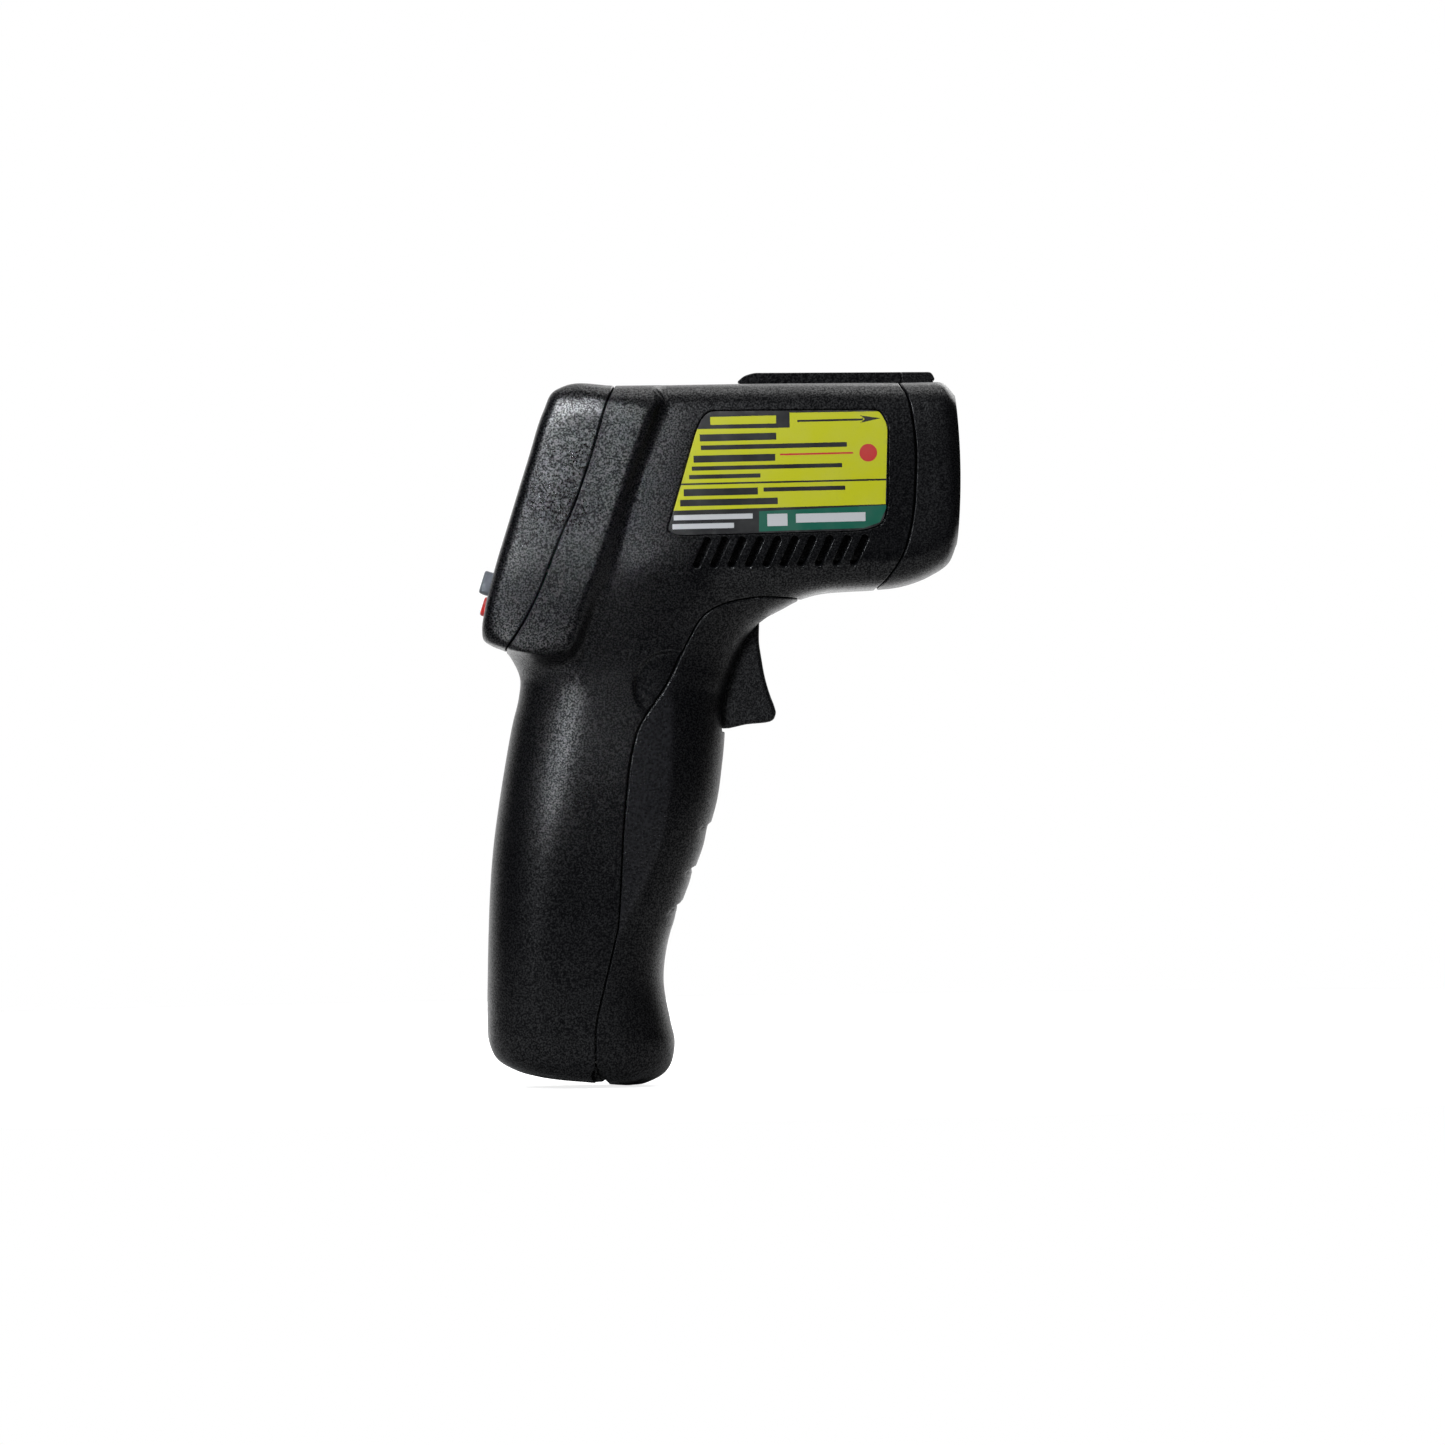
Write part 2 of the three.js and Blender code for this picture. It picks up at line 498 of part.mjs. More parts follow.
BOARD_POSTS.forEach((at, i) => {
  const { shank, length, head, tall } = BOARD_SCREW;
  const turn = new THREE.Matrix4().makeRotationX(-Math.PI / 2).setPosition(...at, MAIN_BOARD.depth[0] - GAP);
  add(`board_screw_${i + 1}`, onFace(place(screw(shank, length, head, tall), turn)), STEEL);
});
Object.entries(BUTTONS).forEach(([name, { at, size, top }], i) => {
  const button = pad(at, size, [FLANGE.depth[1] - FLANGE.root, top], 1.2)
    .add(pad(at, grown(size, FLANGE.wider), FLANGE.depth, 0.8))
    .add(pad(at, [FLANGE.stem, FLANGE.stem], [FLANGE.foot, FLANGE.depth[0] + FLANGE.root], 0.6));
  add(name, button, name === "button_red" ? RED : GREY);
  const body = pad(at, [SWITCH.size, SWITCH.size], SWITCH.depth, 0.5);
  add(`tact_switch_${i + 1}`, body.add(post(at, SWITCH.plunger, [SWITCH.depth[1] - 1, SWITCH.top])), DARK);
});

// Nose cap and the optics behind it.
const nose = shell.add(rail.subtract(cavity))
  .intersect(aheadOfSeam(HALF_GAP))
  .subtract(rod(SIGHT_Z, APERTURE.hole, 40, FAR, 24))
  .subtract(rod(LASER_Z, LASER.hole, 40, FAR, 12));
add("nose_cap", nose, SATIN_BLACK);
const lensRing = rod(SIGHT_Z, APERTURE.ring, APERTURE.back, APERTURE.front, 24)
  .subtract(rod(SIGHT_Z, APERTURE.seat, APERTURE.back - 1, APERTURE.step, 24))
  .subtract(rod(SIGHT_Z, APERTURE.mouth, APERTURE.back, FAR, 24));
add("lens_ring", lensRing, DARK);
add("ir_lens", rod(SIGHT_Z, LENS.radius, ...LENS.x, 24), GREY);
const tube = rod(SIGHT_Z, TUBE.outer, ...TUBE.x).subtract(rod(SIGHT_Z, TUBE.inner, 0, FAR));
add("sensor_tube", tube, DARK);
add("thermopile", rod(SIGHT_Z, THERMOPILE.radius, THERMOPILE.x[0], THERMOPILE.x[1], 16), STEEL);
add("sensor_board", rod(SIGHT_Z, SENSOR_BOARD.radius, ...SENSOR_BOARD.x), BOARD);
add("laser_module", rod(LASER_Z, LASER.radius, ...LASER.x, 14), BRASS);
add("laser_window", rod(LASER_Z, LASER.glass, ...LASER.glassX, 12), CLEAR);
const RIBBON = [
  [-27.4, 134.2], [-20, 131], [0, 128], [19.2, 127], [19.2, 126.5], [0, 127.5], [-20, 130.5], [-27.2, 133.6],
];
add("sensor_ribbon", plate(RIBBON, -4, 4), GREY);

// Battery door with its hinge and finger steps.
const steps = FINGER_STEPS.map(([[fx, fz], [bx, bz]]) => {
  const slope = (fz - bz) / (fx - bx);
  const outline = [
    [fx + STEP.past, fz + STEP.past * slope + STEP.half],
    [bx, bz + STEP.half],
    [bx, bz - STEP.half],
    [fx + STEP.past, fz + STEP.past * slope - STEP.half],
  ];
  return plate(outline, -FAR, FAR);
});
const lugRoom = [-1, 1].map((side) => {
  const width = mirrored([HINGE.knuckle, HINGE.end + GAP], side);
  return bar(DOOR_PIVOT, HINGE.lug + GAP, ...width);
});
const knuckle = bar(DOOR_PIVOT, HINGE.round, -HINGE.knuckle, HINGE.knuckle);
const door = shell.intersect(doorZone(HALF_GAP))
  .subtract(plate(DOOR_HEEL, -FAR, FAR))
  .add(knuckle.intersect(outside))
  .subtract(union(lugRoom))
  .subtract(bar(DOOR_PIVOT, HINGE.pin + GAP, -FAR, FAR))
  .subtract(block(TRIGGER_SLOT.x, [-TRIGGER_SLOT.half, TRIGGER_SLOT.half], TRIGGER_SLOT.z))
  .subtract(union(steps).subtract(skin(STEP.depth, SKIN_POINTS)));
add("battery_door", door, SOFT_BLACK);
add("door_hinge_pin", bar(DOOR_PIVOT, HINGE.pin, GAP - HINGE.end, HINGE.end - GAP, 12), STEEL);

// Trigger on its pin, carried by a bracket with a torsion spring and a switch.
const coilRoom = bar(TRIGGER_PIVOT, COIL.room, COIL.from, COIL.to);
const trigger = plate(TRIGGER_OUTLINE, -TRIGGER_HALF, TRIGGER_HALF)
  .subtract(coilRoom)
  .subtract(bar(TRIGGER_PIVOT, TRIGGER_PIN + GAP, -FAR, FAR));
add("trigger", trigger, SPARK_BLACK);
add("trigger_pin", bar(TRIGGER_PIVOT, TRIGGER_PIN, -CHEEK[1], CHEEK[1], 12), STEEL);
const coil = Array.from({ length: COIL.turns * 8 + 1 }, (_, i) => {
  const angle = (Math.PI * i) / 4;
  return [
    TRIGGER_PIVOT[0] - COIL.round * Math.cos(angle),
    COIL.from + 2 * COIL.wire + (COIL.pitch * i) / 8,
    TRIGGER_PIVOT[1] + COIL.round * Math.sin(angle),
  ];
});
const [px, pz] = TRIGGER_PIVOT;
const wire = [[px - 2.6, coil[0][1], pz - 2.4], ...coil, [px - 2.3, coil[coil.length - 1][1], pz + 3]];
add("trigger_spring", cable(wire, COIL.wire, 44, 4), STEEL);
const CHEEK_OUTLINE = [
  [3.2, 105.4], [3.2, 99], [1.5, 96.8], [-3, 96.8], [-6, 99.5], [-16, 99.5], [-16, 105.4],
];
const bracket = block([-16, 3.2], [-CHEEK[1], CHEEK[1]], [103.4, 105.4])
  .add(block([-16, -14.4], [-CHEEK[1], CHEEK[1]], [76, 105.4]))
  .add(plate(CHEEK_OUTLINE, ...CHEEK))
  .add(plate(CHEEK_OUTLINE, -CHEEK[1], -CHEEK[0]))
  .subtract(bar(TRIGGER_PIVOT, TRIGGER_PIN + GAP, -FAR, FAR));
add("trigger_bracket", bracket, DARK);
const button = block([-8.7, -7.2], [-1.5, 1.5], [81.5, 84.5]);
add("trigger_switch", block([-14.1, -8.6], [-3, 3], [78, 88]).add(button), DARK);

// Battery with its tray, snap connector and leads.
const { deep, wide, tall } = BATTERY;
add("battery", onCell(block([-deep / 2, deep / 2], [-wide / 2, wide / 2], [0, tall])), GREY);
const studs = { battery_stud_positive: [6.35, 2.9], battery_stud_negative: [-6.35, 3.8] };
Object.entries(studs).forEach(([name, [y, radius]]) => {
  const stud = new THREE.CylinderGeometry(radius, radius, 2.5, 12).rotateX(Math.PI / 2);
  add(name, onCell(solid(stud.translate(0, y, tall + GAP + 1.25))), STEEL);
});
add("battery_snap", onCell(block([-6.5, 6.5], [-12.6, 12.6], [tall + 3.1, tall + 6.1])), DARK);
const tray = block([-11.2, -9.2], [-12, 12], [-2.6, 42]).add(block([-11.2, 6], [-12, 12], [-2.6, -0.4]));
add("battery_tray", onCell(tray), DARK);
const lead = (y) => cable([[-22.2, y, 71.8], [-23.8, y * 1.2, 78], [-30, y * 1.4, 88], [-37.5, y * 1.5, 98]], 0.7, 10);
add("lead_red", lead(3), RED);
add("lead_black", lead(-3), DARK);

const thermometer = new THREE.Group();
thermometer.name = "infrared_thermometer";
thermometer.add(...parts);

export default thermometer;
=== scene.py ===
import math

import bpy
import numpy as np
from mathutils import Matrix, Vector


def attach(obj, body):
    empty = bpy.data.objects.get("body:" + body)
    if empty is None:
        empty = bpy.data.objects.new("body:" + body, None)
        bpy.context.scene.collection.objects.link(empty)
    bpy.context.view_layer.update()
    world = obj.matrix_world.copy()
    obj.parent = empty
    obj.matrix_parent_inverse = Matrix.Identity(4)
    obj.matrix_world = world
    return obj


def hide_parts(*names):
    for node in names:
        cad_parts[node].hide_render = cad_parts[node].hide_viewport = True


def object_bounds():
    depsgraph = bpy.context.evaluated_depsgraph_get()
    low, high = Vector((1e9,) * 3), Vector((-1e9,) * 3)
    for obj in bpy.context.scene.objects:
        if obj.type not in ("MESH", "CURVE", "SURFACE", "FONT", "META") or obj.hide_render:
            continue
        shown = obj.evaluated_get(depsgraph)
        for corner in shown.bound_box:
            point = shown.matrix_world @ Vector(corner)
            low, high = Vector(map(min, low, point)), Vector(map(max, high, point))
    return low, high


# Looks of a pistol-grip infrared thermometer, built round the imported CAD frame.
# The skin of the housing is worked out in millimetres as one smooth surface. Each
# moulding is cut out of it along its seams, with rounded edges and a real wall.
# A field is a function of points that is above zero where material stays.

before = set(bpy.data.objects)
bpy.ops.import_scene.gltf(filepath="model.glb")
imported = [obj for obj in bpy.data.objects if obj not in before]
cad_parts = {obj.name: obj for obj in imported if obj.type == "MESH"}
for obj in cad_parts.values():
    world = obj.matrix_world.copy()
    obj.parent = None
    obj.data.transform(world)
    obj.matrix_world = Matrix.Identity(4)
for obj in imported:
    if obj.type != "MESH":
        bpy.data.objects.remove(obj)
cad_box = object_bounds()

MM = 0.001
GAP = 0.3
WALL = 2.2
EDGE_ROUND = 0.32
GRID = 0.8
FINE = 0.24
LIP = {"half": 1.5, "off_hinge": 3.2, "top": 95, "wall": 0.7, "gap": 0.12}
LINER = {"x": 13, "z": 113.6, "half": (21, 5.4), "corner": 1.5, "wall": 0.6}
SMALL_ROUND = 0.1
FAR = 9.0

COLLAR_HALF = 21.5
COLLAR_CROWN = 1.02
BARREL_HALF = 20.3
COLLAR_TAPER = (1.6, -29, 18)
COLLAR_TUCK = (0.8, 97, 112)
BARREL_TAPER = (1.4, 18, 36)
TOP_CROWN = (1, 131, 19)
GRIP_HALF = 17.6
NECK_HALF = 16.2
BUTT_HALF = 16.8
COLLAR_RISE = 4.5
FACE_TILT = math.radians(18)
FACE_MIDDLE = (-42.7, 0, 127)
SIGHT_Z = 126.5
LASER_Z = 142
DOOR_PIVOT = (-27.2, 2.3)
KNUCKLE = {"half": 8, "end": 12, "radius": 1.35, "bore": 0.8, "sweep": 1.85}

# Sections of the skin from the nose, round the rear of the head, down to the butt:
# front point x, z, back point x, z, bow, squareness front, squareness back, width share.
SECTIONS = np.array([
    [50.7, 114.5, 50.7, 146.6, 0.91, 5, 7, 0.93],
    [48.9, 110.6, 48.2, 149.2, 1.3, 5, 7, 0.99],
    [45.5, 108.3, 45.0, 149.4, 2.5, 5, 7, 1],
    [39.2, 106.0, 42.3, 149.4, 4.3, 5, 7, 1],
    [33.1, 105.3, 39.0, 149.4, 5.9, 5, 7, 1],
    [28.5, 105.1, 32.0, 149.5, 5, 5, 7, 1],
    [23.0, 104.8, 22.0, 149.6, 2.5, 5, 7, 1],
    [17.6, 103.6, 8.0, 149.7, 0, 4.6, 7, 1],
    [13.5, 101.6, -6.0, 149.7, 0, 4.2, 7, 1],
    [10.9, 100.2, -21.8, 149.7, 0, 3.6, 8, 1],
    [9.4, 98.9, -32.5, 149.7, 0, 3.2, 12, 1],
    [8.5, 98.1, -35.0, 148.4, 0, 3.1, 14, 1],
    [7.9, 97.4, -37.0, 144.5, 0, 3, 15, 1],
    [6.9, 96.2, -40.4, 134.4, 0, 3, 15, 1],
    [5.5, 94.4, -44.6, 121.5, 0, 3, 15, 1],
    [4.4, 92.2, -48.4, 109.4, 0, 3, 15, 1],
    [3.6, 90.4, -50.4, 101.5, 0, 3, 15, 1],
    [3.0, 88.8, -50.9, 98.0, 0, 3, 13, 1],
    [2.6, 87.6, -50.6, 95.7, 0, 3, 10, 1],
    [2.2, 86.4, -48.8, 94.4, 0, 3, 7, 1],
    [1.9, 85.2, -46.0, 93.1, 0, 2.9, 4, 1],
    [1.4, 83.4, -44.4, 90.7, 0, 2.8, 3, 1],
    [1.0, 81.2, -43.2, 87.5, 0, 2.8, 2.7, 1],
    [0.7, 77.8, -43.5, 83.6, 0, 2.8, 2.6, 1],
    [0.5, 74.2, -44.9, 78.0, 0, 2.8, 2.6, 1],
    [-0.1, 68.6, -46.5, 70.0, 0, 2.8, 2.7, 1],
    [-1.4, 60.4, -48.0, 61.4, 0, 2.8, 2.8, 1],
    [-4.1, 51.9, -49.3, 52.8, 0, 2.8, 2.8, 1],
    [-8.4, 41.0, -50.3, 42.5, 0, 2.8, 2.8, 1],
    [-12.1, 31.5, -50.8, 33.0, 0, 2.8, 2.8, 1],
    [-13.4, 22.5, -51.1, 24.5, 0, 2.8, 2.8, 1],
    [-12.0, 13.3, -51.3, 15.0, 0, 2.8, 2.8, 1],
    [-11.2, 9.0, -51.1, 10.0, 0, 2.8, 2.8, 1],
    [-11.8, 5.2, -49.6, 6.3, 0, 2.8, 2.8, 0.985],
    [-13.6, 2.4, -45.5, 3.6, 0, 2.8, 2.8, 0.93],
    [-17.0, 0.6, -40.4, 2.1, 0, 2.8, 2.8, 0.82],
    [-20.5, 0, -33.0, 1.2, 0, 2.8, 2.8, 0.55],
])
RING_HALF = 104

# Joints between the mouldings, in the X-Z plane.
REAR_SEAM = [
    (-21.8, 151), (-21.9, 149.5), (-23.6, 145.4), (-26.2, 136.9), (-30.1, 125.6),
    (-33.7, 117.5), (-37.8, 107.4), (-41.4, 100.2), (-45.8, 93.6), (-47, 91.8),
]
NOSE_SEAM = [
    (37.2, 154), (39, 149.1), (40.5, 146.4), (41.6, 141.3), (42.2, 134.8), (42, 128.3),
    (41.5, 121.9), (40.2, 115.5), (38.2, 110.8), (35.3, 107), (32.4, 104.4),
]
DOOR_SEAM = [
    (-28, -2), (-28, 9.4), (-27.7, 13.7), (-26.5, 19), (-23.5, 30.8), (-22.5, 36.1),
    (-21.3, 54.4), (-20.1, 66.2), (-19.2, 71.6), (-17.3, 77.5), (-11.8, 85.4),
    (-8, 92.8), (-4.4, 99.2), (-0.9, 101.9), (3.6, 103.3), (9, 103.9), (13.3, 103.8),
    (17.2, 103.3), (20, 102),
]
LEAF_EDGE = [
    (-9, 88), (-11.2, 84.3), (-10.4, 81.1), (-10.5, 73.5), (-11.1, 64.9), (-12.2, 56.4),
    (-14, 49.9), (-16.3, 44.6), (-19, 39.3), (-21.7, 34), (-24, 29),
]
FLANK = np.array([
    [90, -30.5, -34], [99.3, -26.5, -30.6], [110, -22.2, -27.6],
    [117.9, -20.1, -24.4], [131.3, -16.4, -19.2], [145, -11.4, -13.1],
])
COLLAR_FOOT = np.array([[-46, 93], [-40, 93.4], [-32, 94.4], [-27, 95.9]])
TRIGGER_OUTLINE = [
    (8.3, 98.6), (8.2, 94.6), (8.6, 91.4), (9.3, 87.1), (10.3, 83.4), (11.3, 80.6),
    (11.5, 78.9), (10.2, 77.4), (5.2, 76.9), (0.3, 76.1), (-2.6, 78), (-3.4, 84),
    (-3.6, 92), (-4, 98), (-3.4, 101.4), (-1, 102.6), (1.6, 101.2), (7.3, 99.6),
]
TRIGGER_HALF = 6
TRIGGER_SLOT = {"half": 6.6, "x": -8, "z": (75.4, 100.3)}
LABEL_OUTLINE = [
    (-2.4, 143.9), (-4.6, 140.1), (-10.4, 120.8), (-11.3, 118.3), (-9, 117.2),
    (30.8, 117.6), (35.2, 119), (36.1, 123.1), (36.5, 140.3), (34.8, 143.3), (33.1, 143.6),
]
VENTS = {"count": 10, "x": -2.5, "pitch": 3.72, "top": 116.9, "bottom": 110.3,
         "lean": 2.4, "half": 0.75}
THUMB = {"x": -11.1, "z": 85.1, "radius": 8, "depth": 0.85}
DOOR_HEEL = [(-27.85, 1.7), (-26.6, 1.1), (-25.6, 0.4), (-25.2, 0)]
FINGER_STEPS = [((-2, 55.6), (-6, 54.1)), ((-4.7, 46.9), (-8.6, 45.1)),
                ((-8.5, 39.1), (-12.4, 36.5))]
RAIL = [(4.2, 148), (4.2, 150.2), (5.9, 151.6), (8, 152.2), (46, 151.8), (46.9, 150), (46.9, 148)]
RAIL_HALF = 4.5
RAIL_FOOT = 148.6
RAIL_JOINT = (39.5, 39.6)
CASE_SCREWS = [(-40, 10.5), (-35, 80), (14, 142), (-12, 113)]
SCREW_HEAD = {"bore": 2.9, "seat": 12.3}
WINDOW = {"at": (0, 4), "size": (31, 26), "corner": 2}
BUTTONS = {
    "button_grey_right": {"at": (9, -20.3), "size": (8, 5), "top": 1.9},
    "button_grey_left": {"at": (-9, -20.3), "size": (8, 5), "top": 1.9},
    "button_red": {"at": (0, -25.2), "size": (7.4, 4.2), "top": 0.55},
}
APERTURE = 10.6
LASER_HOLE = 2.2


# ---- skin surface

def smoothstep(low, high, value):
    t = np.clip((value - low) / (high - low), 0, 1)
    return t * t * (3 - 2 * t)


def smooth_fall(low, high, value):
    return 1 - smoothstep(low, high, value)


def lerp(a, b, t):
    return a + (b - a) * t


def bend(past, curve):
    """How far a side that starts to curve in has come, this far past its start."""
    by, _, over = curve
    return by * (np.maximum(0, past) / over) ** 2


def half_width(x, z):
    """Half width of the housing at a place in the X-Z plane."""
    lower = lerp(BUTT_HALF, GRIP_HALF, smoothstep(0, 30, z))
    grip = lerp(lower, NECK_HALF, smoothstep(55, 86, z))
    crown = bend(z - TOP_CROWN[1], TOP_CROWN)
    barrel = BARREL_HALF - crown - bend(BARREL_TAPER[1] - x, BARREL_TAPER)
    plain = lerp(grip, barrel, smoothstep(88, 113, z))
    front = np.interp(z, FLANK[:, 0], FLANK[:, 1])
    back = np.interp(z, FLANK[:, 0], FLANK[:, 2])
    foot = np.interp(x, COLLAR_FOOT[:, 0], COLLAR_FOOT[:, 1])
    tuck = COLLAR_TUCK[0] * smooth_fall(*COLLAR_TUCK[1:], z)
    collar = COLLAR_HALF * COLLAR_CROWN - crown - tuck - bend(COLLAR_TAPER[1] - x, COLLAR_TAPER)
    share = smooth_fall(back, front, x) * smoothstep(foot - COLLAR_RISE, foot, z)
    return lerp(plain, collar, share)


def soft_least(a, b, blend):
    h = np.clip(0.5 + 0.5 * (b - a) / blend, 0, 1)
    return a * h + b * (1 - h) - blend * h * (1 - h)


def smooth_rows(table):
    """The table's rows with smooth rows between them, no further apart than GRID."""
    step = np.maximum(
        np.hypot(*(table[1:, 0:2] - table[:-1, 0:2]).T),
        np.hypot(*(table[1:, 2:4] - table[:-1, 2:4]).T),
    )
    knots = np.concatenate([[0], np.cumsum(step)])
    secant = (table[1:] - table[:-1]) / step[:, None]
    slope = np.empty_like(table)
    slope[0], slope[-1] = secant[0], secant[-1]
    weight = step[1:, None] / (step[1:, None] + step[:-1, None])
    slope[1:-1] = secant[:-1] * weight + secant[1:] * (1 - weight)
    rows = []
    for i, length in enumerate(step):
        count = max(1, math.ceil(length / GRID))
        t = (np.arange(count) / count)[:, None]
        rows.append(
            table[i] * (1 + 2 * t) * (1 - t) ** 2 + slope[i] * length * t * (1 - t) ** 2
            + table[i + 1] * t ** 2 * (3 - 2 * t) + slope[i + 1] * length * t ** 2 * (t - 1)
        )
    rows.append(table[-1:])
    return np.concatenate(rows)


def half_rings(rows):
    """Points of each row's section on the +Y side, from the front to the back."""
    turn = np.linspace(0, math.pi, 901)[None, :]
    fx, fz, bx, bz, bow, square_front, square_back, share = (c[:, None] for c in rows.T)
    square = np.where(turn < math.pi / 2, square_front, square_back)
    reach_out = (np.abs(np.cos(turn)) ** square + np.abs(np.sin(turn)) ** square) ** (-1 / square)
    along = -np.cos(turn) * reach_out
    full = np.sin(turn) * reach_out
    length = np.hypot(bx - fx, bz - fz)
    ux, uz = (bx - fx) / length, (bz - fz) / length
    out = bow * (1 - along ** 2)
    x = (fx + bx) / 2 + ux * length / 2 * along + uz * out
    z = (fz + bz) / 2 + uz * length / 2 * along - ux * out
    wide = np.minimum(half_width(x, z) * share, COLLAR_HALF)
    y = wide * soft_least(full * COLLAR_CROWN, np.ones_like(full), 0.04)
    y[:, 0] = y[:, -1] = 0
    fine = np.stack([x, y, z], 2)
    step = np.linalg.norm(np.diff(fine, axis=1), axis=2)
    travel = np.concatenate([np.zeros((len(rows), 1)), np.cumsum(step, 1)], 1)
    goals = np.linspace(0, 1, RING_HALF + 1)
    made = np.empty((len(rows), RING_HALF + 1, 3))
    for i in range(len(rows)):
        for axis in range(3):
            made[i, :, axis] = np.interp(goals * travel[i, -1], travel[i], fine[i, :, axis])
    return made


EDGES = ([0, 1], [1, 2], [2, 0])


class Sheet:
    """A triangle mesh that keeps its own smooth normals: p points, n normals, t triangles."""

    def __init__(self, p, n, t):
        self.p, self.n, self.t = p, n, t

    def edges(self):
        """Unique edges and, for each triangle, which of them are its ab, bc and ca."""
        pairs = np.concatenate([self.t[:, pair] for pair in EDGES])
        keys, inverse = np.unique(pairs.min(1) * len(self.p) + pairs.max(1), return_inverse=True)
        return np.column_stack(np.divmod(keys, len(self.p))), inverse.reshape(3, -1).T

    def split(self, unique, of_face, flagged, share):
        """Puts a point on each flagged edge, at share of its way, and splits the faces there."""
        new = -np.ones(len(unique), int)
        new[flagged] = len(self.p) + np.arange(flagged.sum())
        a, b = unique[flagged].T
        s = share[flagged][:, None]
        n = self.n[a] * (1 - s) + self.n[b] * s
        p = np.concatenate([self.p, self.p[a] * (1 - s) + self.p[b] * s])
        n = np.concatenate([self.n, n / np.linalg.norm(n, axis=1, keepdims=True)])
        mids = new[of_face]
        count = (mids >= 0).sum(1)
        faces = [self.t[count == 0]]
        for wanted in (1, 2, 3):
            chosen = count == wanted
            t, m = self.t[chosen], mids[chosen]
            if not len(t):
                continue
            if wanted < 3:  # turn each face so that its split edge, or its unsplit one, is ab
                first = np.argmax(m >= 0 if wanted == 1 else m < 0, 1)
                order = (first[:, None] + np.arange(3)) % 3
                t, m = np.take_along_axis(t, order, 1), np.take_along_axis(m, order, 1)
            (ta, tb, tc), (ab, bc, ca) = t.T, m.T
            corners = {
                1: [(ta, ab, tc), (ab, tb, tc)],
                2: [(tc, ca, bc), (ca, ta, tb), (ca, tb, bc)],
                3: [(ta, ab, ca), (ab, tb, bc), (ca, bc, tc), (ab, bc, ca)],
            }[wanted]
            faces += [np.stack(c, 1) for c in corners]
        return Sheet(p, n, np.concatenate(faces))

    def refined(self, distance, rounds=3):
        """Smaller faces where distance is small."""
        made = self
        for _ in range(rounds):
            unique, of_face = made.edges()
            a, b = unique.T
            near = np.abs(distance(made.p))
            size = FINE + 0.45 * np.minimum(near[a], near[b])
            long = np.linalg.norm(made.p[a] - made.p[b], axis=1) > 1.35 * size
            if not long.any():
                break
            made = made.split(unique, of_face, long, np.full(len(unique), 0.5))
        return made

    def cut(self, values):
        """Edges added where the values at the points pass zero."""
        unique, of_face = self.edges()
        a, b = values[unique].T
        a, b = (np.where(np.abs(v) < 1e-4, 0, v) for v in (a, b))
        crossed = a * b < 0
        share = np.where(crossed, a / np.where(crossed, a - b, 1), 0.5)
        return self.split(unique, of_face, crossed, share)

    def kept(self, faces):
        used, inverse = np.unique(self.t[faces], return_inverse=True)
        return Sheet(self.p[used], self.n[used], inverse.reshape(-1, 3))

    def middles(self):
        return self.p[self.t].mean(1)

    def trimmed(self, field):
        """The part of the sheet where the field is above zero."""
        values = field(self.p)
        made = self.kept(values[self.t].max(1) > 0)
        made = made.cut(field(made.p))
        return made.kept(field(made.middles()) > 0)


def quads(a, b, c, d):
    """Two triangles for each quad between neighbours a, b of one row and c, d of the next."""
    return [np.stack(each, -1).reshape(-1, 3) for each in ([a, b, c], [b, d, c])]


def face_normals(p, t):
    return np.cross(p[t[:, 1]] - p[t[:, 0]], p[t[:, 2]] - p[t[:, 0]])


def vertex_normals(p, t):
    each = face_normals(p, t)
    n = np.zeros_like(p)
    for k in range(3):
        np.add.at(n, t[:, k], each)
    length = np.linalg.norm(n, axis=1, keepdims=True)
    return n / np.where(length > 0, length, 1)


def end_facing(row, ring, way):
    """Which way the end that closes the skin at a row faces, at the ring's points."""
    front, back, bow = row[0:2], row[2:4], row[4]
    length = np.linalg.norm(back - front)
    u = (back - front) / length
    along = (ring[:, [0, 2]] - (front + back) / 2) @ u / (length / 2)
    tilt = 4 * bow * along / length
    n = np.stack([u[1] + u[0] * tilt, np.zeros(len(ring)), -u[0] + u[1] * tilt], 1)
    return way * n / np.linalg.norm(n, axis=1, keepdims=True)


